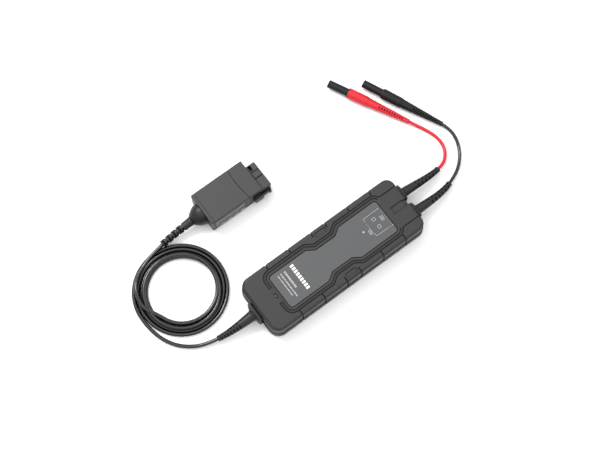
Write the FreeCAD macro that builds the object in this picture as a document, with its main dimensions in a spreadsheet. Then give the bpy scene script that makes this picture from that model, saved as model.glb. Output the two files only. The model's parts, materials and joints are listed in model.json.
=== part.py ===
"""Differential oscilloscope probe: probe body, two input leads with shrouded plugs, a coiled output
cable and the interface box that plugs into the oscilloscope.

Millimetres. The origin is at the bottom centre of the probe body, +X points to the input leads and
+Z points up. The interface box lies on its side next to the body.
"""
import FreeCAD, Part
import math
import os

V = FreeCAD.Vector
ROTATION = FreeCAD.Rotation

SIZES = {
    # probe body
    "case_length": 206.8, "case_width": 71.0, "case_height": 27.0, "parting_height": 11.0,
    "rear_corner": 12.5, "front_corner": 10.5, "lip": 0.7, "case_wall": 2.2, "case_floor": 2.2,
    "case_roof": 3.0, "top_rounding": 3.2, "bottom_rounding": 1.6,
    "label_x": 0.9, "label_length": 144.8, "label_width": 41.7, "label_corner": 3.5,
    "waist_width": 29.4, "waist_long": 45.0, "waist_short": 26.4, "label_thick": 0.9,
    "label_sink": 0.7, "label_gap": 0.5, "groove_near": 3.7, "groove_far": 6.3,
    "groove_width": 0.9, "groove_depth": 0.9,
    "notch_x": 3.7, "notch_width": 1.3, "notch_depth": 1.2, "notch_reach": 29.6,
    "lane_inner": 4.4, "lane_outer": 21.3, "light_x": -77.7, "light_radius": 0.8, "light_gap": 0.8,
    "boss_x": 84.0, "boss_y": 27.0, "boss_radius": 3.6, "screw_radius": 1.3,
    "board_length": 176.0, "board_width": 46.0, "board_thick": 1.6, "board_level": 7.0,
    # strain reliefs of the probe body
    "lead_y": 12.5, "relief_level": 13.0, "flange_thick": 2.5, "flange_height": 19.0,
    "lead_flange_width": 18.6, "cable_flange_width": 23.0, "cable_flange_thick": 3.6,
    "neck_height": 13.0, "lead_neck": 11.0, "cable_neck": 16.0,
    "lead_relief_base": 11.6, "lead_relief_tip": 6.4, "cable_relief_base": 13.0,
    "cable_relief_tip": 6.2,
    # cords
    "lead_diameter": 3.8, "cable_diameter": 4.4,
    "coil_x": -154.4, "coil_y": 70.4, "coil_inner": 37.5, "coil_outer": 52.9, "coil_high": 8.8,
    # shrouded plugs
    "sheath_length": 24.3, "sheath_radius": 4.65, "sheath_bore": 3.6, "pin_radius": 2.0,
    "pin_waist": 1.45, "grip_length": 25.5, "grip_front": 6.2, "grip_back": 5.7,
    "tail_length": 51.7, "tail_tip": 2.5, "plug_droop": 0.0196,
    # interface box
    "box_rear": -85.4, "box_front": -17.6, "box_side": 105.8, "box_width": 41.2, "box_high": 26.0,
    "box_wall": 2.0, "box_edge": 1.2, "cap_thick": 3.8, "seam_gap": 0.5, "dome_radius": 13.0,
    "dome_length": 14.3, "dome_y": 126.5, "box_relief_base": 10.2, "box_relief_tip": 8.2,
    "panel_x": -61.0, "panel_length": 39.0, "panel_level": 4.0, "panel_high": 16.5,
    "panel_thick": 0.6, "button_first": -73.0, "button_pitch": 9.0, "button_wide": 6.4,
    "button_high": 4.6, "button_level": 9.0, "button_travel": 0.8, "button_gap": 0.25,
    "block_front": -5.7, "block_width": 32.3, "block_base": 2.5, "block_high": 21.0,
    "socket_y": 122.0, "socket_radius": 7.3, "socket_depth": 9.5, "contact_y": 133.4,
    "contact_pitch": 2.6, "contact_radius": 0.6,
}

# Free cords: the corners of each route, from the strain relief it leaves to the piece it reaches.
RED_TIP = V(157.5, 12.8, 6.0)
BLACK_TIP = V(157.3, -8.1, 6.0)
CABLE_TIP = V(-153.1, 3.2, 6.0)
BOX_TIP = V(-140.5, 125.0, 7.0)
RED_TAIL = V(166.4, 77.2, 4.7)
BLACK_TAIL = V(194.9, 52.1, 4.7)
RED_ROUTE = [
    RED_TIP, V(165.5, 14.2, 4.2), V(174.9, 20.6, 2.4), V(180.9, 31.2, 1.9), V(181.4, 44.0, 1.9),
    V(176.6, 57.8, 2.3), V(170.6, 69.0, 3.6), RED_TAIL,
]
BLACK_ROUTE = [
    BLACK_TIP, V(166.0, -5.0, 4.0), V(177.6, 1.0, 2.1), V(188.6, 11.4, 1.9), V(196.2, 24.6, 1.9),
    V(198.9, 39.0, 2.8), BLACK_TAIL,
]
ENTRY_ROUTE = [
    CABLE_TIP, V(-164.0, 5.6, 4.2), V(-178.6, 12.0, 2.4), V(-192.8, 24.2, 2.2),
    V(-202.4, 41.4, 2.2), V(-206.2, 61.6, 2.2), V(-204.4, 81.6, 2.4),
]
EXIT_ROUTE = [
    V(-197.8, 78.0, 7.0), V(-197.0, 91.0, 8.6), V(-191.6, 103.2, 8.2), V(-181.4, 113.6, 5.2),
    V(-167.6, 119.8, 4.0), V(-153.6, 123.4, 5.6), BOX_TIP,
]


class Size:
    """A length from the sheet: its value and the expression that binds a property to it."""

    def __init__(self, value, text):
        self.value = value
        self.text = text

    def __add__(self, other):
        return Size(self.value + value_of(other), f"({self.text} + {text_of(other)})")

    def __sub__(self, other):
        return Size(self.value - value_of(other), f"({self.text} - {text_of(other)})")

    def __rsub__(self, other):
        return Size(value_of(other) - self.value, f"({text_of(other)} - {self.text})")

    def __mul__(self, other):
        return Size(self.value * value_of(other), f"({self.text} * {text_of(other)})")

    def __truediv__(self, other):
        return Size(self.value / value_of(other), f"({self.text} / {text_of(other)})")

    def __neg__(self):
        return Size(-self.value, f"(0 - {self.text})")

    __radd__ = __add__
    __rmul__ = __mul__


def value_of(amount):
    return amount.value if isinstance(amount, Size) else float(amount)


def text_of(amount):
    return amount.text if isinstance(amount, Size) else f"({amount:.6f})"


doc = FreeCAD.newDocument("oscilloscope_probe")
sheet = doc.addObject("Spreadsheet::Sheet", "Sizes")
for row, (word, number) in enumerate(SIZES.items(), start=1):
    sheet.set(f"A{row}", word)
    sheet.set(f"B{row}", str(number))
    sheet.setAlias(f"B{row}", word)
doc.recompute()


def size(word):
    return Size(float(sheet.get(word)), f"Sizes.{word}")


NODES = []


# ---------------------------------------------------------------- helpers

def node(obj, label):
    """Give a finished sub-part its own label and put it on the list of pieces."""
    obj.Label = label
    NODES.append(obj)
    return obj


def bind(obj, **amounts):
    """Bind properties to the sheet; a double underscore stands for a dot in a property's path."""
    for path, amount in amounts.items():
        obj.setExpression(path.replace("__", "."), text_of(amount))
    return obj


def place(obj, x, y, z, rotation=None):
    if rotation is not None:
        obj.Placement = FreeCAD.Placement(V(0, 0, 0), rotation)
    return bind(obj, Placement__Base__x=x, Placement__Base__y=y, Placement__Base__z=z)


def box(name, x, y, z):
    """A block that fills three (low, high) ranges."""
    block = doc.addObject("Part::Box", name)
    bind(block, Length=x[1] - x[0], Width=y[1] - y[0], Height=z[1] - z[0])
    return place(block, x[0], y[0], z[0])


def middle(centre, width):
    """The (low, high) range of a width about its centre."""
    return centre - width / 2, centre + width / 2


AXIS_TURN = {"x": ROTATION(V(0, 1, 0), 90), "y": ROTATION(V(1, 0, 0), -90), "z": ROTATION()}


def cylinder(name, radius, length, x, y, z, along="z"):
    rod = doc.addObject("Part::Cylinder", name)
    bind(rod, Radius=radius, Height=length)
    return place(rod, x, y, z, AXIS_TURN[along])


def cut(name, base, *tools):
    tool = tools[0] if len(tools) == 1 else fuse(f"{name}_cutters", *tools)
    result = doc.addObject("Part::Cut", name)
    result.Base = base
    result.Tool = tool
    return result


def fuse(name, *parts):
    result = doc.addObject("Part::MultiFuse", name)
    result.Shapes = list(parts)
    return result


def group(name, parts):
    """Identical separate pieces that share one node."""
    result = doc.addObject("Part::Compound", name)
    result.Links = list(parts)
    return result


def feature(name, shape):
    result = doc.addObject("Part::Feature", name)
    result.Shape = shape
    return result


def fillet(name, base, radius, chosen):
    """Round the edges of base for which chosen(edge) is true."""
    doc.recompute()
    result = doc.addObject("Part::Fillet", name)
    result.Base = base
    result.Edges = [
        (number, radius, radius)
        for number, edge in enumerate(base.Shape.Edges, start=1)
        if chosen(edge)
    ]
    return result


def sketch(body, name, plane="XY_Plane", lift=0.0):
    """A sketch on one of the body's own origin planes, lifted along the plane's normal."""
    result = body.newObject("Sketcher::SketchObject", name)
    support = next(f for f in body.Origin.OriginFeatures if f.Role == plane)
    result.AttachmentSupport = [(support, "")]
    result.MapMode = "FlatFace"
    return bind(result, AttachmentOffset__Base__z=lift)


def outline_edges(corners):
    """Lines and tangent arcs round a polygon given as (x, y, corner radius)."""
    points = [V(value_of(x), value_of(y), 0) for x, y, radius in corners]
    joints = []
    for index, (x, y, radius) in enumerate(corners):
        here, before, after = points[index], points[index - 1], points[(index + 1) % len(points)]
        into, out = (here - before).normalize(), (after - here).normalize()
        half_turn = into.getAngle(out) / 2
        reach = value_of(radius) * math.tan(half_turn)
        start, end = here - into * reach, here + out * reach
        bisector = (out - into).normalize()
        inside = value_of(radius) / math.cos(half_turn) - value_of(radius)
        joints.append((start, here + bisector * inside, end, value_of(radius)))
    edges = []
    for index, (start, mid, end, radius) in enumerate(joints):
        if radius > 0:
            edges.append(Part.Arc(start, mid, end))
        edges.append(Part.LineSegment(end, joints[(index + 1) % len(joints)][0]))
    return edges


def outline_wire(corners, level=0.0):
    wire = Part.Wire([edge.toShape() for edge in outline_edges(corners)])
    wire.translate(V(0, 0, level))
    return wire


def draw(target, corners):
    for edge in outline_edges(corners):
        target.addGeometry(edge, False)
    return target


def pad(body, name, profile, length, reverse=False):
    result = body.newObject("PartDesign::Pad", name)
    result.Profile = profile
    result.Reversed = reverse
    return bind(result, Length=length)


def pocket(body, name, profile, length, reverse=False):
    result = body.newObject("PartDesign::Pocket", name)
    result.Profile = profile
    result.Reversed = reverse
    return bind(result, Length=length)


def turned(name, corners):
    """A body turned about its own X axis from corners (x, radius, corner radius)."""
    body = doc.addObject("PartDesign::Body", name)
    profile = draw(sketch(body, f"{name}_profile"), corners)
    turn = body.newObject("PartDesign::Revolution", f"{name}_turn")
    turn.Profile = profile
    turn.ReferenceAxis = (profile, ["H_Axis"])
    turn.Angle = 360
    return body


# ---------------------------------------------------------------- probe body

def case_outline(inset):
    """Plan of the probe body, moved inwards by inset: its rear corners are the larger ones."""
    half_x = size("case_length") / 2 - inset
    half_y = size("case_width") / 2 - inset
    rear, front = size("rear_corner") - inset, size("front_corner") - inset
    return [(-half_x, -half_y, rear), (half_x, -half_y, front),
            (half_x, half_y, front), (-half_x, half_y, rear)]


def label_outline(grow):
    """Plan of the front label, a plate with a waist, moved outwards by grow."""
    half_x = size("label_length").value / 2 + grow
    half_y = size("label_width").value / 2 + grow
    waist = size("waist_width").value / 2 + grow
    slope = math.atan2(size("label_width").value - size("waist_width").value,
                       size("waist_long").value - size("waist_short").value)
    shift = grow * math.tan(slope / 2)
    wide = size("waist_long").value / 2 - shift
    narrow = size("waist_short").value / 2 - shift
    corner, bend = size("label_corner").value + grow, 2.0
    lower = [(-half_x, -half_y, corner), (-wide, -half_y, bend), (-narrow, -waist, bend),
             (narrow, -waist, bend), (wide, -half_y, bend), (half_x, -half_y, corner)]
    upper = [(-x, -y, radius) for x, y, radius in lower]
    return [(x + size("label_x").value, y, radius) for x, y, radius in lower + upper]


def slab(name, corners, low, high, hole=None):
    """A plate between two levels from an outline, with an optional outline cut out of it."""
    low, high = value_of(low), value_of(high)
    face = Part.Face(outline_wire(corners, low))
    if hole is not None:
        face = face.cut(Part.Face(outline_wire(hole, low)))
    return feature(name, face.extrude(V(0, 0, high - low)))


def shell_body(name, inset, low, high, cavity_low, cavity_high):
    """A padded plan outline with its cavity pocketed out."""
    body = doc.addObject("PartDesign::Body", name)
    plan = draw(sketch(body, f"{name}_plan", lift=low), case_outline(inset))
    pad(body, f"{name}_pad", plan, high - low)
    inner = draw(sketch(body, f"{name}_inner", lift=cavity_high),
                 case_outline(size("lip") + size("case_wall")))
    pocket(body, f"{name}_cavity", inner, cavity_high - cavity_low)
    return body


def boss_places():
    return [(side_x * size("boss_x"), side_y * size("boss_y"))
            for side_x in (-1, 1) for side_y in (-1, 1)]


def notch_places():
    """Middles of the notches across each long edge, in mirrored pairs about their own centre."""
    return [size("notch_x") + side * distance
            for distance in (9.4, 39.6, 70.1) for side in (-1, 1)]


def notch_cutters(name):
    """Slots across both long edges, all of one depth below the rounded outer surface."""
    half = size("case_width") / 2
    slots = []
    for index, middle_x in enumerate(notch_places()):
        for side in (-1, 1):
            low = size("notch_reach") if side > 0 else -half - 2
            high = half + 2 if side > 0 else -size("notch_reach")
            slots.append(box(f"{name}_{index}_{side + 1}", middle(middle_x, size("notch_width")),
                             (low, high), (-1.0, size("case_height") + 1)))
    depth = size("notch_depth")
    core = slab(f"{name}_core", case_outline(size("lip") + depth), 2.0,
                size("case_height") - depth)
    rounded = fillet(f"{name}_round", core, size("top_rounding").value,
                     lambda edge: edge.BoundBox.ZMin > size("case_height").value - depth.value - .01)
    return cut(name, fuse(f"{name}_slots", *slots), rounded)


def neck_openings(name):
    """Windows in both ends for the necks of the three strain reliefs."""
    half_x, level = size("case_length") / 2, size("relief_level")
    height = middle(level, size("neck_height"))
    windows = [box(f"{name}_rear", (-half_x - 1, -half_x + 4),
                   middle(0.0, size("cable_neck")), height)]
    for side in (-1, 1):
        windows.append(box(f"{name}_front_{side + 1}", (half_x - 4, half_x + 1),
                           middle(side * size("lead_y"), size("lead_neck")), height))
    return windows


def lower_case():
    floor, parting = size("case_floor"), size("parting_height")
    shell = shell_body("lower_shell", 0.0, 0.0, parting, floor, parting)
    rounded = fillet("lower_rounded", shell, size("bottom_rounding").value,
                     lambda edge: edge.BoundBox.ZMax < 0.01)
    posts = [cylinder(f"lower_boss_{i}", size("boss_radius"), parting - 1.0, x, y, 1.0)
             for i, (x, y) in enumerate(boss_places())]
    posts += [cylinder(f"board_post_{i}", 2.5, size("board_level") - 1.0, x, y, 1.0)
              for i, (x, y) in enumerate([(-62, -15), (-62, 15), (20, -15), (20, 15)])]
    holes = []
    for i, (x, y) in enumerate(boss_places()):
        holes.append(cylinder(f"screw_hole_{i}", size("screw_radius") + 0.3, parting + 2, x, y, -1.0))
        holes.append(cylinder(f"screw_seat_{i}", size("screw_radius") * 2.3, 3.6, x, y, -1.0))
    holes += neck_openings("lower_neck")
    holes.append(notch_cutters("lower_notches"))
    holes.append(box("rear_label_seat", (-46.0, 46.0),
                     (-19.0, 19.0), (-1.0, 0.4)))
    node(cut("lower_case", fuse("lower_solid", rounded, *posts), *holes), "lower_case")


def contour_grooves():
    """Two grooves that follow the label's outline, left out where the light hole interrupts them."""
    top = size("case_height")
    rings = []
    for number, reach in enumerate((size("groove_near"), size("groove_far"))):
        outer = label_outline(reach.value + size("groove_width").value)
        rings.append(slab(f"groove_{number}", outer, top - size("groove_depth"), top + 1,
                          hole=label_outline(reach.value)))
    rear_gap = box("groove_rear_gap", (-90.0, -71.8),
                   (-9.0, 9.0), (top - 3, top + 2))
    front_gap = box("groove_front_gap", (74.2, 90.0),
                    (-21.0, 21.0), (top - 3, top + 2))
    return cut("contour_grooves", fuse("groove_rings", *rings), rear_gap, front_gap)


def front_lanes():
    """Lines between the two lanes over the lead entries and their neighbours, and the sunk middle."""
    half_x, top, wide = size("case_length") / 2, size("case_height"), size("groove_width")
    cuts = [box(f"lane_line_{side + 1}", (80.0, half_x + 1),
                middle(side * size("lane_outer"), wide), (top - size("groove_depth"), top + 1))
            for side in (-1, 1)]
    inner = (-size("lane_inner"), size("lane_inner"))
    cuts.append(box("lane_middle", (81.4, 97.0), inner, (top - 1.1, top + 1)))
    cuts.append(box("lane_middle_end", (97.0, half_x + 1),
                    (inner[0] + 0.8, inner[1] - 0.8), (top - 1.8, top + 1)))
    return cuts


def grip_pockets():
    """A rounded finger pocket on each side of the label's waist."""
    top, wide, deep = size("case_height"), 5.2, 0.9
    pockets = []
    for side in (-1, 1):
        centre = side * 28.0
        corners = [(-3.4, centre - wide / 2, 1.6), (10.8, centre - wide / 2, 1.6),
                   (10.8, centre + wide / 2, 1.6), (-3.4, centre + wide / 2, 1.6)]
        pockets.append(slab(f"grip_pocket_{side + 1}", corners, top - deep, top + 1))
    return pockets


def upper_case():
    low, top, lip = size("parting_height"), size("case_height"), size("lip")
    shell = shell_body("upper_shell", lip, low, top, low, top - size("case_roof"))
    rounded = fillet("upper_rounded", shell, size("top_rounding").value,
                     lambda edge: edge.BoundBox.ZMin > top.value - 0.01)
    posts = [cylinder(f"upper_boss_{i}", size("boss_radius"), top - low - 1.5, x, y, low)
             for i, (x, y) in enumerate(boss_places())]
    relief = [
        slab("label_recess", label_outline(size("label_gap").value),
             top - size("label_sink") - size("label_thick"), top + 1),
        contour_grooves(), *front_lanes(), *grip_pockets(),
    ]
    holes = [cylinder(f"pilot_{i}", size("screw_radius"), 8.0, x, y, low - 1.0)
             for i, (x, y) in enumerate(boss_places())]
    holes.append(cylinder("light_hole", size("light_radius") + size("light_gap"), 8.0,
                          size("light_x"), 0.0, top - 6))
    holes += neck_openings("upper_neck")
    holes.append(notch_cutters("upper_notches"))
    solid = fuse("upper_solid", rounded, *posts)
    node(cut("upper_case", cut("upper_relief", solid, *relief), *holes), "upper_case")


def labels():
    body = doc.addObject("PartDesign::Body", "label_overlay")
    plan = draw(sketch(body, "label_plan", lift=size("case_height") - size("label_sink")
                       - size("label_thick")), label_outline(0.0))
    pad(body, "label_pad", plan, size("label_thick"))
    node(body, "label_overlay")
    node(box("rear_label", (-45.6, 45.6),
             (-18.6, 18.6), (0.1, 0.4)),
         "rear_label")


def case_screws():
    """Four pan-head screws that join the halves from below."""
    screws = []
    for i, (x, y) in enumerate(boss_places()):
        head = cylinder(f"screw_head_{i}", size("screw_radius") * 2.2, 1.8, x, y, 0.8)
        shank = cylinder(f"screw_shank_{i}", size("screw_radius"), size("parting_height") + 3, x, y, 2.0)
        slot = box(f"screw_slot_{i}", middle(x, 3.6), middle(y, 0.7),
                   (0.0, 1.5))
        screws.append(cut(f"screw_{i}", fuse(f"screw_solid_{i}", head, shank), slot))
    node(group("case_screws", screws), "case_screws")


def shield(name, x, half_y, level, height):
    """A sheet-metal can, open towards the circuit board."""
    wall = 0.5
    outer = box(f"{name}_outer", x, (-half_y, half_y), (level, level + height))
    inner = box(f"{name}_inner", (x[0] + wall, x[1] - wall), (-half_y + wall, half_y - wall),
                (level - 1, level + height - wall))
    return node(cut(name, outer, inner), name)


def electronics():
    level = size("board_level")
    top = level + size("board_thick")
    board = box("board_blank", middle(-2.0, size("board_length")),
                middle(0.0, size("board_width")), (level, top))
    node(board, "main_circuit_board")
    for side, name in ((1, "red_input_divider"), (-1, "black_input_divider")):
        node(group(name, [cylinder(f"{name}_{i}", 2.0, 10.0, 28.0 + 11.5 * i, side * 10.5, top + 2.0, "x")
                          for i in range(5)]), name)
    shield("input_shield", (24.0, 85.0), size("board_width") / 2 - 3, top, 11.0)
    shield("amplifier_shield", (-42.0, 6.0), size("board_width") / 2 - 5, top, 7.0)
    chips = [box(f"chip_{i}", middle(x, 8.0), middle(0.0, 8.0),
                 (top, top + 1.6)) for i, x in enumerate((-33.0, -18.0, -3.0))]
    node(group("amplifier_chips", chips), "amplifier_chips")
    trimmers = [cylinder(f"trimmer_{i}", 2.4, 3.0, 15.0, side * 8.0, top)
                for i, side in enumerate((-1, 1))]
    node(group("trimmer_capacitors", trimmers), "trimmer_capacitors")
    node(box("cable_header_block", (-88.0, -81.0),
             (-6.0, 6.0), (top, top + 5.0)), "cable_header")
    light = (middle(size("light_x"), 2.4), middle(0.0, 2.0))
    node(box("status_led_block", *light, (top, top + 1.4)), "status_led")
    node(cylinder("light_pipe_rod", size("light_radius"), size("case_height") - 0.5 - (top + 1.6),
                  size("light_x"), 0.0, top + 1.6), "status_light_pipe")


# ---------------------------------------------------------------- strain reliefs

def cone_between(name, start, end, start_diameter, end_diameter):
    cone = doc.addObject("Part::Cone", name)
    bind(cone, Radius1=start_diameter / 2, Radius2=end_diameter / 2)
    cone.Height = (end - start).Length
    cone.Placement = FreeCAD.Placement(start, ROTATION(V(0, 0, 1), end - start))
    return cone


def strain_relief(name, side, y, tip, width, thick, neck, base, end):
    """A tapered sleeve with a flange outside the case wall, a neck in it and an anchor inside."""
    half_x, level = size("case_length") / 2, size("relief_level")
    height = middle(level, size("flange_height"))

    def along(low, high):
        return (low, high) if side > 0 else (-high, -low)

    flange = fillet(f"{name}_flange",
                    box(f"{name}_plate", along(half_x, half_x + thick), middle(y, width), height),
                    0.8, lambda edge: abs(abs(edge.CenterOfMass.x) - value_of(half_x + thick)) < 0.01
                    or edge.BoundBox.XLength > 1.0)
    stem = box(f"{name}_neck", along(half_x - 4.0, half_x + 1), middle(y, neck - 0.1),
               middle(level, size("neck_height") - 0.1))
    anchor = box(f"{name}_anchor", along(half_x - 5.0, half_x - 3.1), middle(y, neck + 2),
                 middle(level, size("neck_height") + 3))
    start = V(side * value_of(half_x + thick - 1.2), value_of(y), value_of(level))
    cone = cone_between(f"{name}_cone", start, tip, base, end)
    node(fuse(name, flange, stem, anchor, cone), name)


def strain_reliefs():
    for name, side, tip in (("red_lead_boot", 1, RED_TIP), ("black_lead_boot", -1, BLACK_TIP)):
        strain_relief(name, 1, side * size("lead_y"), tip, size("lead_flange_width"),
                      size("flange_thick"), size("lead_neck"), size("lead_relief_base"),
                      size("lead_relief_tip"))
    strain_relief("output_cable_boot", -1, 0.0, CABLE_TIP, size("cable_flange_width"),
                  size("cable_flange_thick"), size("cable_neck"), size("cable_relief_base"),
                  size("cable_relief_tip"))


# ---------------------------------------------------------------- cords

def rounded_route(route):
    """Straight runs joined by tangent arcs, each arc as large as its two runs allow."""
    edges, radii, last = [], [], route[0]
    for before, corner, after in zip(route, route[1:], route[2:]):
        into, out = corner - before, after - corner
        reach = 0.45 * min(into.Length, out.Length)
        half_turn = into.getAngle(out) / 2
        radius = reach / math.tan(half_turn)
        into.normalize()
        out.normalize()
        start, end = corner - into * reach, corner + out * reach
        sagitta = radius / math.cos(half_turn) - radius
        mid = corner + (out - into).normalize() * sagitta
        edges += [Part.LineSegment(last, start), Part.Arc(start, mid, end)]
        radii.append(radius)
        last = end
    edges.append(Part.LineSegment(last, route[-1]))
    return Part.Wire([edge.toShape() for edge in edges]), radii


def cord(name, route, diameter):
    wire, radii = rounded_route(route)
    start, direction = route[0], route[1] - route[0]
    section = Part.Wire([Part.Circle(start, direction, diameter / 2).toShape()])
    tube = wire.makePipeShell([section], True, False)
    expected = math.pi * diameter ** 2 / 4 * wire.Length
    print(f"{name}: length {wire.Length:.1f}, volume ratio {tube.Volume / expected:.4f}, "
          f"radii {[round(radius, 1) for radius in radii]}")
    return node(feature(name, tube), name)


def cable_coil():
    """The outer shape of the coiled output cable: a flat ring with round edges."""
    body = doc.addObject("PartDesign::Body", "output_cable_coil")
    inner, outer, high = size("coil_inner"), size("coil_outer"), size("coil_high")
    edge = size("cable_diameter") / 2
    profile = draw(sketch(body, "coil_profile", plane="XZ_Plane"),
                   [(inner, 0.0, edge), (outer, 0.0, edge), (outer, high, edge), (inner, high, edge)])
    turn = body.newObject("PartDesign::Revolution", "coil_turn")
    turn.Profile = profile
    turn.ReferenceAxis = (profile, ["V_Axis"])
    turn.Angle = 360
    node(place(body, size("coil_x"), size("coil_y"), 0.0), "output_cable_coil")


def cords():
    lead, cable = size("lead_diameter").value, size("cable_diameter").value
    cord("red_lead", RED_ROUTE, lead)
    cord("black_lead", BLACK_ROUTE, lead)
    cord("output_cable_entry", ENTRY_ROUTE, cable)
    cord("output_cable_exit", EXIT_ROUTE, cable)
    cable_coil()


# ---------------------------------------------------------------- shrouded plugs

def plug_placement(tail, heading):
    """Stand a plug's own X axis on the line from its tail to its mouth."""
    axis = V(heading.x, heading.y, heading.Length * size("plug_droop").value)
    return FreeCAD.Placement(tail, ROTATION(V(1, 0, 0), axis))


def lantern_spring(name):
    """The slotted, slightly barrelled sleeve that makes the contact."""
    tail, start = size("tail_length").value + size("grip_length").value, 7.0
    inner, outer, long = 1.55, SIZES["pin_radius"], 11.0
    low = tail + start
    ring = turned(f"{name}_ring", [(low, inner, 0), (low + long, inner, 0),
                                   (low + long, outer - 0.15, 0), (low + long / 2, outer, 0),
                                   (low, outer - 0.15, 0)])
    slots = []
    for i in range(3):
        slot = Part.makeBox(long - 3.0, 6.0, 0.5, V(low + 1.5, -3.0, -0.25))
        slot.rotate(V(0, 0, 0), V(1, 0, 0), 60 * i)
        slots.append(feature(f"{name}_slot_{i}", slot))
    return cut(name, ring, *slots)


def plug(colour, tail, heading):
    """Tail, grip, sheath, pin and lantern spring, along the plug's own X axis from the tail."""
    tail_long, grip_long = size("tail_length"), size("grip_length")
    mouth = tail_long + grip_long + size("sheath_length")
    grip_end = tail_long + grip_long
    sheath, bore, pin = size("sheath_radius"), size("sheath_bore"), size("pin_radius")
    tip, back, front = size("tail_tip"), size("grip_back"), size("grip_front")
    nest = grip_end - 6.0
    pieces = {
        "plug_tail": turned(f"{colour}_tail", [(0.0, 0.0, 0), (tail_long, 0.0, 0),
                                               (tail_long, back - 0.7, 0), (0.0, tip, 0)]),
        "plug_grip": turned(f"{colour}_grip", [
            (tail_long, 0.0, 0), (nest - 8, 0.0, 0), (nest - 8, pin, 0), (nest, pin, 0),
            (nest, sheath, 0), (grip_end, sheath, 0), (grip_end, front, 0.5),
            (tail_long, back, 1.2)]),
        "plug_sheath": turned(f"{colour}_sheath", [
            (nest, pin, 0), (nest + 3, pin, 0), (nest + 3, bore, 0), (mouth, bore, 0),
            (mouth, sheath, 0.4), (nest, sheath, 0)]),
        "plug_pin": turned(f"{colour}_pin", [
            (nest - 8, 0.0, 0), (mouth - 2.5, 0.0, 0), (mouth - 2.5, pin - 0.8, 0),
            (mouth - 3.6, pin, 0), (grip_end + 18.2, pin, 0), (grip_end + 18.2, size("pin_waist"), 0),
            (grip_end + 6.8, size("pin_waist"), 0), (grip_end + 6.8, pin, 0), (nest - 8, pin, 0)]),
        "plug_lantern": lantern_spring(f"{colour}_lantern"),
    }
    for suffix, piece in pieces.items():
        piece.Placement = plug_placement(tail, heading)
        node(piece, f"{colour}_{suffix}")


def plugs():
    plug("red", RED_TAIL, V(-45.6, 91.0, 0))
    plug("black", BLACK_TAIL, V(-41.9, 91.6, 0))


# ---------------------------------------------------------------- interface box

SEAM = (-34.1, -36.9, -36.1)  # where the bowed seam meets one side, the middle and the other side


def seam_outline(straight_x, shift):
    """Plan of a box shell with one straight end and one end on the bowed seam, moved by shift."""
    near, far = SIZES["box_side"], SIZES["box_side"] + SIZES["box_width"]
    start, mid, end = (V(x + shift, y, 0) for x, y in zip(SEAM, (near, (near + far) / 2, far)))
    corners = [V(straight_x, far, 0), V(straight_x, near, 0)]
    return [Part.Arc(start, mid, end), Part.LineSegment(end, corners[0]),
            Part.LineSegment(corners[0], corners[1]), Part.LineSegment(corners[1], start)]


def box_shell(name, edges):
    """A padded plan with its four long edges rounded."""
    body = doc.addObject("PartDesign::Body", name)
    plan = sketch(body, f"{name}_plan")
    for edge in edges:
        plan.addGeometry(edge, False)
    pad(body, f"{name}_pad", plan, size("box_high"))
    return fillet(f"{name}_rounded", body, size("box_edge").value,
                  lambda edge: edge.BoundBox.XLength > 10 and edge.BoundBox.YLength < 0.01)


def button_places():
    return [size("button_first") + size("button_pitch") * index for index in range(4)]


def button_windows(name, y):
    wide = size("button_wide") + size("button_gap") * 2
    high = size("button_high") + size("button_gap") * 2
    return [box(f"{name}_{i}", middle(x, wide), y, middle(size("button_level"), high))
            for i, x in enumerate(button_places())]


def cap_screw_places():
    near, wide, high = size("box_side"), size("box_width"), size("box_high")
    return [(near + 3.8, 3.9), (near + 3.8, high - 3.9), (near + wide - 3.8, 3.9),
            (near + wide - 3.8, high - 3.9)]


def interface_case():
    near, wide, high, wall = size("box_side"), size("box_width"), size("box_high"), size("box_wall")
    rear = size("box_rear") + size("cap_thick") + 0.3
    shell = box_shell("interface_shell", seam_outline(rear.value, 0.0))
    hollow = box("interface_hollow", (rear - 1, -30.0), (near + wall, near + wide - wall),
                 (wall, high - wall))
    seat = box("panel_seat", middle(size("panel_x"), size("panel_length")),
               (near - 1, near + size("panel_thick")),
               (size("panel_level"), size("panel_level") + size("panel_high")))
    windows = button_windows("case_window", (near - 1, near + wall + 1))
    bosses = [cylinder(f"cap_boss_{i}", 1.9, 9.0, rear + 3.2, y, z, "x")
              for i, (y, z) in enumerate(cap_screw_places())]
    pilots = [cylinder(f"cap_pilot_{i}", 0.9, 12.0, rear - 1, y, z, "x")
              for i, (y, z) in enumerate(cap_screw_places())]
    hull = cut("interface_hull", shell, hollow, seat, *windows)
    node(cut("interface_case", fuse("interface_bossed", hull, *bosses), *pilots), "interface_case")


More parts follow.
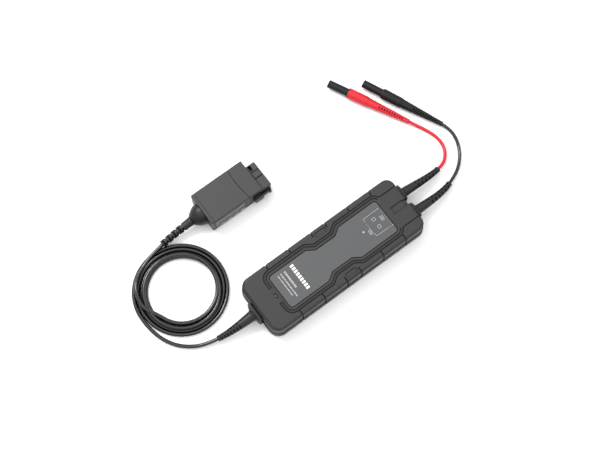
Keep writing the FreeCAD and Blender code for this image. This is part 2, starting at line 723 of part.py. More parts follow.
def interface_rear_cap():
    near, wide, high, wall = size("box_side"), size("box_width"), size("box_high"), size("box_wall")
    rear, thick = size("box_rear"), size("cap_thick")
    plate = fillet("cap_rounded", box("cap_plate", (rear, rear + thick), (near, near + wide),
                                      (0.0, high)), size("box_edge").value,
                   lambda edge: edge.CenterOfMass.x < rear.value + thick.value - 0.1)
    spigot = box("cap_spigot", (rear + thick, rear + thick + 3.2),
                 (near + wall + 0.1, near + wide - wall - 0.1), (wall + 0.1, high - wall - 0.1))
    through = [cylinder(f"cap_hole_{i}", 1.1, thick + 6, rear - 1, y, z, "x")
               for i, (y, z) in enumerate(cap_screw_places())]
    seats = [cylinder(f"cap_seat_{i}", 2.0, 2.4, rear - 1, y, z, "x")
             for i, (y, z) in enumerate(cap_screw_places())]
    node(cut("interface_rear_cap", fuse("cap_solid", plate, spigot), *through, *seats),
         "interface_rear_cap")
    screws = []
    for i, (y, z) in enumerate(cap_screw_places()):
        head = cylinder(f"cap_screw_head_{i}", 1.8, 1.2, rear + 0.2, y, z, "x")
        shank = cylinder(f"cap_screw_shank_{i}", 0.9, 13.0, rear + 1, y, z, "x")
        screws.append(fuse(f"cap_screw_{i}", head, shank))
    node(group("interface_screws", screws), "interface_screws")


def interface_dome_and_boot():
    """The domed cable entry on the rear cap and the ribbed strain relief that leaves it."""
    radius, long, relief = size("dome_radius"), size("dome_length"), size("box_relief_base") / 2
    body = doc.addObject("PartDesign::Body", "interface_dome")
    profile = sketch(body, "dome_profile")
    corner, tip = V(0, radius.value, 0), V(-long.value, relief.value, 0)
    profile.addGeometry(Part.Arc(corner, V(-long.value * 0.66, radius.value * 0.76, 0), tip), False)
    for start, end in ((tip, V(-long.value, 0, 0)), (V(-long.value, 0, 0), V(0, 0, 0)),
                       (V(0, 0, 0), corner)):
        profile.addGeometry(Part.LineSegment(start, end), False)
    turn = body.newObject("PartDesign::Revolution", "dome_turn")
    turn.Profile = profile
    turn.ReferenceAxis = (profile, ["H_Axis"])
    turn.Angle = 360
    node(place(body, size("box_rear"), size("dome_y"), size("dome_radius")), "interface_dome")
    dome_face = size("box_rear").value - long.value
    start = V(dome_face + 1, size("dome_y").value, radius.value)
    sleeve = cone_between("boot_sleeve", start, BOX_TIP, size("box_relief_base"),
                          size("box_relief_tip"))
    inside = box("boot_inside", (dome_face, dome_face + 4), middle(size("dome_y"), 20),
                 middle(radius, 20))
    node(cut("boot_cut", sleeve, inside), "interface_boot")


def control_panel():
    near = size("box_side")
    level, high, x = size("panel_level"), size("panel_high"), size("panel_x")
    sheet_gap = 0.15
    plate = box("panel_plate", middle(x, size("panel_length") - 2 * sheet_gap),
                (near + 0.05, near + size("panel_thick")), (level + sheet_gap, level + high - sheet_gap))
    lights = [(middle(place_x, 2.6), middle(size("button_level") + 6.6, 1.4))
              for place_x in button_places()]
    openings = [box(f"light_opening_{i}", lx, (near - 1, near + 1), lz)
                for i, (lx, lz) in enumerate(lights)]
    node(cut("panel_cut", plate, *button_windows("panel_window", (near - 1, near + 3)), *openings),
         "control_panel")
    windows = [box(f"indicator_{i}", lx, (near, near + size("panel_thick")), lz)
               for i, (lx, lz) in enumerate(lights)]
    node(group("indicator_windows", windows), "indicator_windows")


def push_buttons():
    """Four keys: a cap through the panel, a collar behind the wall and a stem to the switch."""
    near, wall = size("box_side"), size("box_wall")
    wide, high, level = size("button_wide"), size("button_high"), size("button_level")
    for i, x in enumerate(button_places()):
        cap = box(f"key_cap_{i}", middle(x, wide), (near - 1.1, near + wall + 0.2), middle(level, high))
        soft = fillet(f"key_soft_{i}", cap, 0.5, lambda edge: edge.CenterOfMass.y < near.value - 1.0)
        collar = box(f"key_collar_{i}", middle(x, wide + 1.4), (near + wall + 0.15, near + wall + 1.0),
                     middle(level, high + 1.4))
        stem = cylinder(f"key_stem_{i}", 1.3, 1.8, x, near + wall + 0.9, level, "y")
        node(fuse(f"push_button_{i + 1}", soft, collar, stem), f"push_button_{i + 1}")
    board_y = near + wall + 2.7 + size("button_travel") + 0.3
    node(box("switch_board_blank", (-77.5, -42.0), (board_y, board_y + 1.2),
             (3.0, size("box_high") - 6)), "switch_board")


def interface_nose():
    near, wide, high, wall = size("box_side"), size("box_width"), size("box_high"), size("box_wall")
    front = size("box_front")
    shell = box_shell("nose_shell", seam_outline(front.value, size("seam_gap").value))
    hollow = box("nose_hollow", (-40.0, front - wall), (near + wall, near + wide - wall),
                 (wall, high - wall))
    front_window = box("nose_window", (front - wall - 1, front + 1), (near + 5, near + 28), (6.0, 20.0))
    key_window = box("latch_window", (-30.3, -20.1),
                     (near - 1, near + wall + 1), (6.2, 19.8))
    channel = box("latch_channel", (front - wall - 1, front + 1), (near - 1, near + 4.0), (9.0, 17.0))
    rib = box("spring_rib", (-29.0, -23.2), (near + 12.0, near + 13.5),
              (1.0, high - 1))
    hull = cut("nose_hull", shell, hollow, front_window, key_window, channel)
    node(fuse("interface_nose", hull, rib), "interface_nose")


def latch():
    """The release key, the hook that it carries and the leaf spring behind it."""
    near, wall = size("box_side"), size("box_wall")
    cap = box("latch_cap", (-30.0, -18.4), (near - 4.4, near - 2.4),
              (7.0, 19.0))
    soft = fillet("latch_soft", cap, 1.2, lambda edge: edge.CenterOfMass.y < near.value - 3.0)
    stem = box("latch_stem", (-30.0, -20.4), (near - 2.6, near + wall + 0.3),
               (6.5, 19.5))
    collar = box("latch_collar", (-31.6, -20.4),
                 (near + wall + 0.15, near + wall + 1.3), (5.0, 21.0))
    node(fuse("latch_button", soft, stem, collar), "latch_button")
    arm = box("latch_arm", (-18.4, -8.2), (near - 3.0, near - 0.4), (10.0, 16.0))
    nib = box("latch_nib", (-10.6, -8.2), (near - 4.4, near - 2.9), (10.0, 16.0))
    node(fuse("latch_hook", arm, nib), "latch_hook")
    low, high = (near + wall + 1.6).value, (near + 11.7).value
    fold = [(-28.6, low), (-23.6, low), (-28.2, (low + high) / 2), (-23.6, high), (-28.6, high)]
    strip = Part.makePolygon([V(x, y, 10.0) for x, y in fold])
    leaf = strip.makeOffset2D(0.25, fill=False, join=2, openResult=False)
    node(feature("latch_spring", Part.Face(leaf).extrude(V(0, 0, 6))), "latch_spring")


def contact_places():
    return [size("block_base") + 2.7 + size("contact_pitch") * index for index in range(5)]


def connector():
    near, front, nose = size("box_side") + 0.1, size("block_front"), size("box_front")
    base, high, wide = size("block_base"), size("block_high"), size("block_width")
    top = base + high
    block = fillet("block_rounded", box("block_solid", (nose, front), (near, near + wide), (base, top)),
                   0.8, lambda edge: edge.CenterOfMass.x > nose.value + 0.1)
    neck = box("block_neck", (nose - size("box_wall") - 0.2, nose + 1), (near + 5.1, near + 27.7),
               (6.2, 19.8))
    flange = box("block_flange", (nose - 5.0, nose - size("box_wall") - 0.2), (near + 7, near + 31),
                 (4.0, 22.0))
    ridge = box("block_ridge", (nose + 1.2, front - 0.8), (near + 15.2, near + 20.8), (top - 1, top + 0.5))
    cavity = cylinder("socket_cavity", size("socket_radius"), size("socket_depth") + 1,
                      front - size("socket_depth"), size("socket_y"), size("dome_radius"), "x")
    channel = box("block_channel", (nose - 1, front + 1), (near - 1, near + 4.0), (9.0, 17.0))
    slot = box("block_slot", (nose + 2.0, nose + 5.4), (near + 24.6, near + 31.2), (top - 6, top + 1))
    steps = [box(f"block_step_{i}", (nose + 1.0, front + 1), middle(near + y, 0.9),
                 (top - 0.9, top + 1)) for i, y in enumerate((14.6, 23.0))]
    holes = [cylinder(f"contact_hole_{i}", size("contact_radius") + 0.05, 8.0, front - 7, size("contact_y"),
                      z, "x") for i, z in enumerate(contact_places())]
    solid = fuse("block_body", block, neck, flange, ridge)
    node(cut("connector_housing", solid, cavity, channel, slot, *steps, *holes), "connector_housing")
    node(group("contact_pins", [
        cylinder(f"contact_{i}", size("contact_radius"), 6.0, front - 4.8, size("contact_y"), z, "x")
        for i, z in enumerate(contact_places())]), "contact_pins")


def signal_connector():
    y, z, front, depth = size("socket_y"), size("dome_radius"), size("block_front"), size("socket_depth")
    back = front - depth
    sleeve = cylinder("signal_sleeve", 6.0, depth - 0.6, back, y, z, "x")
    bore = cylinder("signal_bore", 5.1, depth, back + 1.0, y, z, "x")
    seat = cylinder("signal_seat", 3.4, 3.0, back - 1.0, y, z, "x")
    node(cut("signal_connector_shell", sleeve, bore, seat), "signal_connector_shell")
    core = cylinder("insulator_core", 3.4, depth - 3.0, back, y, z, "x")
    hole = cylinder("insulator_hole", 0.7, depth + 2, back - 1, y, z, "x")
    node(cut("signal_insulator", core, hole), "signal_insulator")
    node(cylinder("centre_contact", 0.7, depth - 1.6, back, y, z, "x"), "signal_contact")


# ---------------------------------------------------------------- checks and files

def check_and_export():
    doc.recompute()
    for obj in doc.Objects:
        bad = {"Invalid", "Error"} & set(obj.State)
        assert not bad, f"{obj.Name} is {bad}"
    os.makedirs("parts", exist_ok=True)
    for obj in NODES:
        shape = obj.Shape
        assert not shape.isNull() and shape.isValid() and shape.Solids, f"{obj.Label} has no valid solid"
        print(f"{obj.Label}: {len(shape.Solids)} solid(s), {shape.Volume:.0f} mm3")
    for obj in NODES:
        obj.Shape.exportStep(f"parts/{obj.Label}.step")


lower_case()
upper_case()
labels()
case_screws()
electronics()
strain_reliefs()
cords()
plugs()
interface_case()
interface_rear_cap()
interface_dome_and_boot()
control_panel()
push_buttons()
interface_nose()
latch()
connector()
signal_connector()
check_and_export()
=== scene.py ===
"""Looks of a differential oscilloscope probe: body, two plug leads, coiled cable and interface box."""
import json
import math

import bmesh
import bpy
import numpy
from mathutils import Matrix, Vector
from mathutils.geometry import delaunay_2d_cdt


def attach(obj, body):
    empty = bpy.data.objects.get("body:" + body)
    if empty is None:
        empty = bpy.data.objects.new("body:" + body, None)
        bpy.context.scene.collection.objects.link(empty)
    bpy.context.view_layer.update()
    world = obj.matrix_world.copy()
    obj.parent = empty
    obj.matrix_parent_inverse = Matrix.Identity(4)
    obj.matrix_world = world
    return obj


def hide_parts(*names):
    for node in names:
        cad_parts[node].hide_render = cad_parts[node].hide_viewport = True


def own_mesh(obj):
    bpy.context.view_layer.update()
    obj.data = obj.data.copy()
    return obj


MM = 0.001
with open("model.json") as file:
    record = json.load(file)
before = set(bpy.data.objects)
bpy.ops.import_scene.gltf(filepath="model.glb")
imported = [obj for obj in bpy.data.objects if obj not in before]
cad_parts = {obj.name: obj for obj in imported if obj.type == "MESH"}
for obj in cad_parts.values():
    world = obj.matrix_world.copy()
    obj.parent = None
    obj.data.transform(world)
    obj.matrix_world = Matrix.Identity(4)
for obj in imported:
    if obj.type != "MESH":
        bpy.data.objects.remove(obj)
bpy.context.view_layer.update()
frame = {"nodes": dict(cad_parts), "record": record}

# ---------------------------------------------------------------- camera, light and floor
VIEW_AZIMUTH, VIEW_ELEVATION = math.radians(-36.74), math.radians(73.70)
VIEW_DISTANCE, VIEW_LENS = 1.5, 79.67
VIEW_TARGET = Vector((0.0, 0.0509, 0.0))
DOME_LOW, DOME_HIGH, KEY_POWER = 0.10, 1.80, 15.0
BACK = Vector((math.sin(VIEW_AZIMUTH) * math.cos(VIEW_ELEVATION),
               -math.cos(VIEW_AZIMUTH) * math.cos(VIEW_ELEVATION), math.sin(VIEW_ELEVATION)))


def placed(name, data):
    """A new object in the scene."""
    obj = bpy.data.objects.new(name, data)
    bpy.context.scene.collection.objects.link(obj)
    return obj


def aim(obj, towards):
    """Turn a camera or light so that it looks along a direction."""
    obj.rotation_mode = "QUATERNION"
    obj.rotation_quaternion = towards.to_track_quat("-Z", "Y")


def camera():
    lens = bpy.data.cameras.new("camera")
    lens.lens = VIEW_LENS
    lens.clip_start, lens.clip_end = 0.05, 20
    eye = placed("camera", lens)
    eye.location = VIEW_TARGET + BACK * VIEW_DISTANCE
    aim(eye, -BACK)
    bpy.context.scene.camera = eye


def softbox(name, place, size, power):
    """A square area light that faces the middle of the object."""
    light = bpy.data.lights.new(name, "AREA")
    light.size = size
    light.energy = power
    obj = placed(name, light)
    obj.location = place
    aim(obj, VIEW_TARGET - Vector(place))


def studio():
    """A white dome that is brightest overhead, and one large softbox up to the left of the view."""
    scene = bpy.context.scene
    scene.view_settings.view_transform = "Standard"
    world = bpy.data.worlds.new("studio")
    world.use_nodes = True
    nodes, links = world.node_tree.nodes, world.node_tree.links
    direction = nodes.new("ShaderNodeTexCoord")
    axes = nodes.new("ShaderNodeSeparateXYZ")
    fade = nodes.new("ShaderNodeMapRange")
    fade.interpolation_type = "SMOOTHSTEP"
    fade.inputs["To Min"].default_value = DOME_LOW
    fade.inputs["To Max"].default_value = DOME_HIGH
    links.new(direction.outputs["Generated"], axes.inputs["Vector"])
    links.new(axes.outputs["Z"], fade.inputs["Value"])
    links.new(fade.outputs["Result"], nodes["Background"].inputs["Strength"])
    nodes["Background"].inputs["Color"].default_value = (1, 1, 1, 1)
    scene.world = world
    softbox("key_light", (-0.30, 1.00, 1.25), 0.42, KEY_POWER)


def floor():
    mesh = bpy.data.meshes.new("floor")
    reach = 6.0
    corners = [(-reach, -reach, 0), (reach, -reach, 0), (reach, reach, 0), (-reach, reach, 0)]
    mesh.from_pydata(corners, [], [(0, 1, 2, 3)])
    ground = placed("floor", mesh)
    paper = bpy.data.materials.new("paper")
    paper.use_nodes = True
    shader = paper.node_tree.nodes["Principled BSDF"]
    shader.inputs["Base Color"].default_value = (0.93, 0.93, 0.93, 1)
    shader.inputs["Roughness"].default_value = 0.9
    mesh.materials.append(paper)


camera()
studio()
floor()

# ---------------------------------------------------------------- cords
LEAD, CABLE = 3.8, 4.4
RED_TIP, BLACK_TIP = (157.5, 12.8, 6.0), (157.3, -8.1, 6.0)
CABLE_TIP, BOX_TIP = (-153.1, 3.2, 6.0), (-140.5, 125.0, 7.0)
RED_TAIL, BLACK_TAIL = (166.4, 77.2, 4.7), (194.9, 52.1, 4.7)
RED_HEADING, BLACK_HEADING = (-45.6, 91.0), (-41.9, 91.6)
DROOP, CORD_IN_TAIL = 0.0196, 5.0
RED_ROUTE = [
    RED_TIP, (165.5, 14.2, 4.2), (174.9, 20.6, 2.4), (180.9, 31.2, 1.9), (181.4, 44.0, 1.9),
    (176.6, 57.8, 2.3), (170.6, 69.0, 3.6), RED_TAIL,
]
BLACK_ROUTE = [
    BLACK_TIP, (166.0, -5.0, 4.0), (177.6, 1.0, 2.1), (188.6, 11.4, 1.9), (196.2, 24.6, 1.9),
    (198.9, 39.0, 2.8), BLACK_TAIL,
]
ENTRY_ROUTE = [
    CABLE_TIP, (-164.0, 5.6, 4.2), (-178.6, 12.0, 2.4), (-192.8, 24.2, 2.2),
    (-202.4, 41.4, 2.2), (-206.2, 61.6, 2.2), (-204.4, 81.6, 2.4),
]
EXIT_ROUTE = [
    (-197.8, 78.0, 7.0), (-197.0, 91.0, 8.6), (-191.6, 103.2, 8.2), (-181.4, 113.6, 5.2),
    (-167.6, 119.8, 4.0), (-153.6, 123.4, 5.6), BOX_TIP,
]


def spline(name, route, diameter):
    """A round cord along one smooth line with the route's points as its control points.

    The points' own radius is the cord's, so that the curve's bounding box is the cord's too.
    """
    curve = bpy.data.curves.new(name, "CURVE")
    curve.dimensions = "3D"
    line = curve.splines.new("NURBS")
    line.points.add(len(route) - 1)
    for point, place in zip(line.points, route):
        point.co = (*[axis * MM for axis in place], 1)
        point.radius = diameter / 2 * MM
    line.order_u = 3
    line.use_endpoint_u = True
    curve.resolution_u = 10
    curve.bevel_depth = 1.0
    curve.bevel_resolution = 7
    curve.use_fill_caps = True
    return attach(placed(name, curve), "root")


COIL_CENTRE, TURN_POINTS, COIL_STEPS = (-153.4, 71.0), 16, 80
COIL_START, COIL_END = 168.0, 193.5 - 5 * 360.0  # degrees: five turns, clockwise from the west side
OUTER_TURN, TURN_GAP, FLOOR_LEVEL = 52.6, 4.35, 2.25
CLIMB_START, CLIMB_END = 3.30, 3.72  # in turns: where the last turn climbs onto the others
FLOOR_TURNS, TOP_TURN, LEAVE_FROM = 4, 2.5, 4.4  # turn 4 lies over the valley at 2.5 and leaves outwards


def floor_turn(turn, angle):
    """Radius of the spiral that lies on the floor, a little loose and out of round."""
    slack = 0.25 * math.sin(angle + 0.8) + 0.10 * math.sin(3 * angle + turn)
    return OUTER_TURN - (TURN_GAP + 0.12 * math.sin(angle - 0.6)) * turn + slack


def coil_turns():
    """Control points of the turns: a flat spiral inwards, then one turn on top of it."""
    points = []
    swell = 1 / math.cos(math.pi / TURN_POINTS)
    for index in range(COIL_STEPS):
        degrees = COIL_START + (COIL_END - COIL_START) * index / (COIL_STEPS - 1)
        angle, turn = math.radians(degrees), (COIL_START - degrees) / 360
        share = min(1.0, max(0.0, (turn - CLIMB_START) / (CLIMB_END - CLIMB_START)))
        share = share * share * (3 - 2 * share)
        below = floor_turn(turn - (FLOOR_TURNS - TOP_TURN), angle)
        below -= 0.5 * TURN_GAP * max(0.0, turn - LEAVE_FROM)
        reach = floor_turn(turn, angle) * (1 - share) + below * share
        level = FLOOR_LEVEL
        if share > 0:
            for under in (turn - step for step in range(1, FLOOR_TURNS + 1)):
                apart = reach - floor_turn(under, angle)
                if under >= 0 and abs(apart) < CABLE:
                    level = max(level, FLOOR_LEVEL + math.sqrt(CABLE ** 2 - apart ** 2))
        points.append((COIL_CENTRE[0] + reach * swell * math.cos(angle),
                       COIL_CENTRE[1] + reach * swell * math.sin(angle), level))
    return points


def into_tail(tail, heading):
    """The end of a lead, a little way inside its plug's tail."""
    reach = CORD_IN_TAIL / math.hypot(*heading)
    return tail[0] + heading[0] * reach, tail[1] + heading[1] * reach, tail[2] + CORD_IN_TAIL * DROOP


def cords():
    red = spline("red_cord", RED_ROUTE + [into_tail(RED_TAIL, RED_HEADING)], LEAD)
    black = spline("black_cord", BLACK_ROUTE + [into_tail(BLACK_TAIL, BLACK_HEADING)], LEAD)
    cable = spline("output_cord", ENTRY_ROUTE[:-1] + coil_turns() + EXIT_ROUTE, CABLE)
    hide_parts("red_lead")
    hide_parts("black_lead")
    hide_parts("output_cable_entry", "output_cable_coil", "output_cable_exit")
    return red, black, cable


red_cord, black_cord, output_cord = cords()


# ---------------------------------------------------------------- materials
EDGE_RADIUS, HOLLOW_REACH = 0.00035, 0.003
CLOUD_SCALE, GRAIN_SCALE, GRAIN_HEIGHT = 90.0, 2600.0, 0.0001
TINT_SPREAD, ROUGH_SPREAD = 0.06, 0.05
FLAT, BENT = 1.0, 0.7  # how far the softened normal agrees with the true one, on a face and at an edge
CLOSED, OPEN = 0.25, 0.95  # share of open surroundings in a deep hollow and on a plain face, for the painted shade
# painted highlight on edges: how much the colour is raised there
EDGE_HIGHLIGHT_GAIN, EDGE_HIGHLIGHT_LIFT = 1.9, 0.02


def noise(nodes, links, place, scale, detail):
    """Noise fixed to the object."""
    made = nodes.new("ShaderNodeTexNoise")
    made.inputs["Scale"].default_value = scale
    made.inputs["Detail"].default_value = detail
    links.new(place.outputs["Object"], made.inputs["Vector"])
    return made.outputs["Fac"]


def ranged(nodes, links, source, **ends):
    """A value mapped from one range to another; ends are the ranges' low and high ends."""
    made = nodes.new("ShaderNodeMapRange")
    for name, value in ends.items():
        made.inputs[name.replace("_", " ").title()].default_value = value
    links.new(source, made.inputs["Value"])
    return made.outputs["Result"]


def mixed(nodes, links, share, first, second):
    """A mix of two colours, each a socket or plain red, green and blue."""
    made = nodes.new("ShaderNodeMix")
    made.data_type = "RGBA"
    for number, colour in ((6, first), (7, second)):
        if isinstance(colour, bpy.types.NodeSocket):
            links.new(colour, made.inputs[number])
        else:
            made.inputs[number].default_value = (*colour, 1)
    links.new(share, made.inputs[0])
    return made.outputs[2]


def material(name, colour, rough, grain=0.2, metal=0.0, gloss=0.5, edge=0.35, hollow_shade=0.25):
    """A moulded or coated surface: fine grain, uneven colour and gloss, soft edges with a painted highlight
    that lightens their colour.

    Painted shade: in a hollow the colour and the gloss fall to a share set for each material.
    """
    made = bpy.data.materials.new(name)
    made.use_nodes = True
    nodes, links = made.node_tree.nodes, made.node_tree.links
    shader = nodes["Principled BSDF"]
    shader.inputs["Metallic"].default_value = metal
    place = nodes.new("ShaderNodeTexCoord")
    cloud = noise(nodes, links, place, CLOUD_SCALE, 4.0)
    tint = mixed(nodes, links, cloud, [c * (1 - TINT_SPREAD) for c in colour],
                 [c * (1 + TINT_SPREAD) for c in colour])

    soft = nodes.new("ShaderNodeBevel")
    soft.samples = 4
    soft.inputs["Radius"].default_value = EDGE_RADIUS
    shape = nodes.new("ShaderNodeNewGeometry")
    facing = nodes.new("ShaderNodeVectorMath")
    facing.operation = "DOT_PRODUCT"
    links.new(soft.outputs["Normal"], facing.inputs[0])
    links.new(shape.outputs["Normal"], facing.inputs[1])
    # painted highlight: the colour is lighter where the softened normal bends away at an edge
    rim = ranged(nodes, links, facing.outputs["Value"], from_min=FLAT, from_max=BENT, to_max=edge)
    edge_highlit = mixed(nodes, links, rim, tint, [min(1.0, c * EDGE_HIGHLIGHT_GAIN + EDGE_HIGHLIGHT_LIFT) for c in colour])

    # painted shade: occlusion darkens the colour and dims the gloss in hollows and between parts
    hollow = nodes.new("ShaderNodeAmbientOcclusion")
    hollow.samples = 8
    hollow.inputs["Distance"].default_value = HOLLOW_REACH
    shade = ranged(nodes, links, hollow.outputs["AO"], from_min=CLOSED, from_max=OPEN, to_min=hollow_shade)
    deep = nodes.new("ShaderNodeVectorMath")
    deep.operation = "SCALE"
    links.new(edge_highlit, deep.inputs[0])
    links.new(shade, deep.inputs["Scale"])
    links.new(deep.outputs["Vector"], shader.inputs["Base Color"])
    lustre = ranged(nodes, links, shade, to_max=gloss)
    links.new(lustre, shader.inputs["Specular IOR Level"])
    shine = ranged(nodes, links, cloud, to_min=rough - ROUGH_SPREAD, to_max=rough + ROUGH_SPREAD)
    links.new(shine, shader.inputs["Roughness"])

    bump = nodes.new("ShaderNodeBump")
    bump.inputs["Strength"].default_value = grain
    bump.inputs["Distance"].default_value = GRAIN_HEIGHT
    links.new(noise(nodes, links, place, GRAIN_SCALE, 2.0), bump.inputs["Height"])
    links.new(soft.outputs["Normal"], bump.inputs["Normal"])
    links.new(bump.outputs["Normal"], shader.inputs["Normal"])
    return made


MATERIALS = {  # by the name of the slot that each is for, then those without a slot of their own
    "case_plastic": material("case_grey", (0.0178, 0.0178, 0.0192), 0.50, grain=0.45, gloss=0.42, hollow_shade=0.08),
    "label_film": material("label_grey", (0.0655, 0.067, 0.069), 0.40, grain=0.10, gloss=0.45, edge=0.1),
    "soft_black": material("rubber_black", (0.0065, 0.0065, 0.007), 0.46, grain=0.35, gloss=0.42),
    "cable_jacket": material("jacket_black", (0.0035, 0.0035, 0.004), 0.20, grain=0.06, gloss=0.62, edge=0.0,
                       hollow_shade=0.06),
    "red_jacket": material("jacket_red", (0.58, 0.010, 0.022), 0.28, grain=0.10, gloss=0.4, edge=0.0),
    "red_plastic": material("plastic_red", (0.56, 0.010, 0.022), 0.38, grain=0.25, gloss=0.4, edge=0.1),
    "black_plastic": material("plastic_black", (0.0045, 0.0045, 0.005), 0.42, grain=0.3, gloss=0.3),
    "box_plastic": material("box_grey", (0.0262, 0.0262, 0.0275), 0.46, grain=0.4, gloss=0.42, hollow_shade=0.05),
    "panel_film": material("panel_grey", (0.10, 0.10, 0.105), 0.40, grain=0.10),
    "key_plastic": material("key_grey", (0.22, 0.22, 0.23), 0.48, grain=0.2),
    "clear_plastic": material("clear_plastic", (0.20, 0.22, 0.21), 0.2, grain=0.05),
    "circuit_board": material("board_green", (0.02, 0.11, 0.045), 0.4),
    "resistor_body": material("resistor_blue", (0.12, 0.22, 0.42), 0.45),
    "chip_body": material("chip_black", (0.02, 0.02, 0.02), 0.6),
    "steel": material("steel", (0.55, 0.55, 0.56), 0.34, metal=1.0),
    "can_metal": material("can_metal", (0.62, 0.62, 0.60), 0.38, metal=1.0),
    "nickel": material("nickel", (0.66, 0.64, 0.60), 0.25, metal=1.0, grain=0.05),
    "gold": material("gold", (0.83, 0.62, 0.26), 0.25, metal=1.0, grain=0.05),
    "insulator": material("insulator_white", (0.72, 0.71, 0.68), 0.45),
    # painted shade: dark stand-ins for the shade inside open slots, put on the slots' floors
    "red_gap": material("painted_shade_red", (0.11, 0.004, 0.008), 0.6, gloss=0.1, edge=0.0),
    "gap": material("painted_shade_black", (0.002, 0.002, 0.002), 0.7, gloss=0.1, edge=0.0),
    "ink": material("ink_white", (0.78, 0.78, 0.78), 0.5, grain=0.05, edge=0.0),
    "faint_ink": material("ink_grey", (0.42, 0.42, 0.43), 0.5, grain=0.05, edge=0.0),
}
MATERIALS["rear_film"] = MATERIALS["label_film"]


def finish_with(obj, name):
    """Give a piece one of the materials in place of whatever it has."""
    obj.data.materials.clear()
    obj.data.materials.append(MATERIALS[name])


def dress_cad_nodes():
    """Every carried-over CAD node takes the material of its own slot in the record."""
    for row in frame["record"]["subparts"]:
        finish_with(frame["nodes"][row["node"]], row["material_slot"])


dress_cad_nodes()
finish_with(red_cord, "red_jacket")
finish_with(black_cord, "cable_jacket")
finish_with(output_cord, "cable_jacket")
finish_with(frame["nodes"]["connector_housing"], "box_plastic")

# ---------------------------------------------------------------- meshes
def piece(name, shape, slot, nodes=(), look=None, sharp=38, apart=(), apart_look="gap"):
    """A mesh piece in millimetres: it rides the root and stands for the nodes it replaces.

    apart holds the numbers of the faces that take a material of their own, such as the slots' floors, which
    take painted shade.
    """
    verts, faces = shape
    mesh = bpy.data.meshes.new(name)
    mesh.from_pydata([[axis * MM for axis in vert] for vert in verts], [], faces)
    mesh.validate()
    obj = placed(name, mesh)
    mesh.shade_smooth()
    mesh.set_sharp_from_angle(angle=math.radians(sharp))
    finish_with(obj, look or slot)
    if apart:
        mesh.materials.append(MATERIALS[apart_look])
        for polygon in mesh.polygons:
            polygon.material_index = int(polygon.index in apart)
    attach(obj, "root")
    if nodes:
        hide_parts(*nodes)
    return obj


def join(*shapes):
    """Several closed shapes as one list of vertices and one of faces."""
    verts, faces = [], []
    for more_verts, more_faces in shapes:
        start = len(verts)
        verts += more_verts
        faces += [[start + index for index in face] for face in more_faces]
    return verts, faces


def skin(rings):
    """A closed surface over rings of equal count, each ring right-handed about the way forward."""
    count = len(rings[0])
    verts = [point for ring in rings for point in ring]
    faces = []
    for row in range(len(rings) - 1):
        low, high = row * count, (row + 1) * count
        for column in range(count):
            after = (column + 1) % count
            faces.append([low + column, low + after, high + after, high + column])
    faces.append(list(reversed(range(count))))
    faces.append(list(range(len(verts) - count, len(verts))))
    return verts, faces


def block(low, high, edge, segments=2):
    """A box with rounded edges."""
    made = bmesh.new()
    bmesh.ops.create_cube(made, size=1.0)
    for vert in made.verts:
        vert.co = Vector([(a + b) / 2 + (b - a) * c for a, b, c in zip(low, high, vert.co)])
    bmesh.ops.bevel(made, geom=list(made.edges), offset=edge, segments=segments, profile=0.5,
                    affect="EDGES")
    made.verts.index_update()
    shape = [tuple(vert.co) for vert in made.verts], [[v.index for v in f.verts] for f in made.faces]
    made.free()
    return shape


COLUMNS = 48  # round the sleeves and tails
PATH_STEPS = 200
PLAIN_PACE = 2.0  # between stations where there is no slot
FLANK_STEPS = (-0.16, -0.05, 0.05, 0.16)
BRIDGE_SOFT = 0.12


def ramp(value, low, high):
    """A smooth step from 0 at low to 1 at high."""
    share = min(1.0, max(0.0, (value - low) / (high - low)))
    return share * share * (3 - 2 * share)


def swept(path, stations, radius):
    """A round body along a path: radius(distance, angle) with the angle measured from the top."""
    fine = [path(step / PATH_STEPS) for step in range(PATH_STEPS + 1)]
    reach = [0.0]
    for before, after in zip(fine, fine[1:]):
        reach.append(reach[-1] + (after - before).length)
    rings = []
    for station in stations:
        distance = min(max(station, 0.0), reach[-1] - 1e-6)
        index = max(step for step in range(PATH_STEPS) if reach[step] <= distance)
        share = (distance - reach[index]) / (reach[index + 1] - reach[index])
        centre = fine[index].lerp(fine[index + 1], share)
        ahead = (fine[min(index + 2, PATH_STEPS)] - fine[max(index - 1, 0)]).normalized()
        side = Vector((0, 0, 1)).cross(ahead).normalized()
        top = ahead.cross(side)
        ring = []
        for column in range(COLUMNS):
            angle = 2 * math.pi * column / COLUMNS
            out = radius(station, angle)
            ring.append(tuple(centre + (top * math.cos(angle) - side * math.sin(angle)) * out))
        rings.append(ring)
    return skin(rings)


def bezier(start, start_way, end, end_way):
    """A path from start to end that leaves and arrives along the given ways."""
    start, end = Vector(start), Vector(end)
    handle = (end - start).length * 0.33
    first = start + Vector(start_way).normalized() * handle
    second = end - Vector(end_way).normalized() * handle

    def at(share):
        rest = 1 - share
        return (start * rest ** 3 + first * 3 * rest ** 2 * share + second * 3 * rest * share ** 2
                + end * share ** 3)
    return at


def slot_stations(length, middles, width):
    """Stations along a sleeve: a regular pace, and a close set at both flanks of every slot."""
    stations = {0.0, length}
    pace = 0.0
    while pace < length:
        if all(abs(pace - middle) > width / 2 + 0.5 for middle in middles):
            stations.add(round(pace, 3))
        pace += PLAIN_PACE
    for middle in middles:
        for flank in (-1, 1):
            for step in FLANK_STEPS:
                stations.add(round(middle + flank * width / 2 + step, 3))
        stations.add(round(middle, 3))
    return sorted(station for station in stations if 0 <= station <= length)


def slot_floors(stations, middles, width, bridges, half_bridge):
    """Numbers of the faces between two stations and two columns that lie in a slot."""
    floors = set()
    for row, (low, high) in enumerate(zip(stations, stations[1:])):
        for number, middle in enumerate(middles):
            if abs((low + high) / 2 - middle) > width / 2 + 0.02:
                continue
            for column in range(COLUMNS):
                turned = 2 * math.pi * (column + 0.5) / COLUMNS - bridges[number % len(bridges)]
                if abs(math.remainder(turned, math.pi)) > half_bridge:
                    floors.add(row * COLUMNS + column)
    return floors


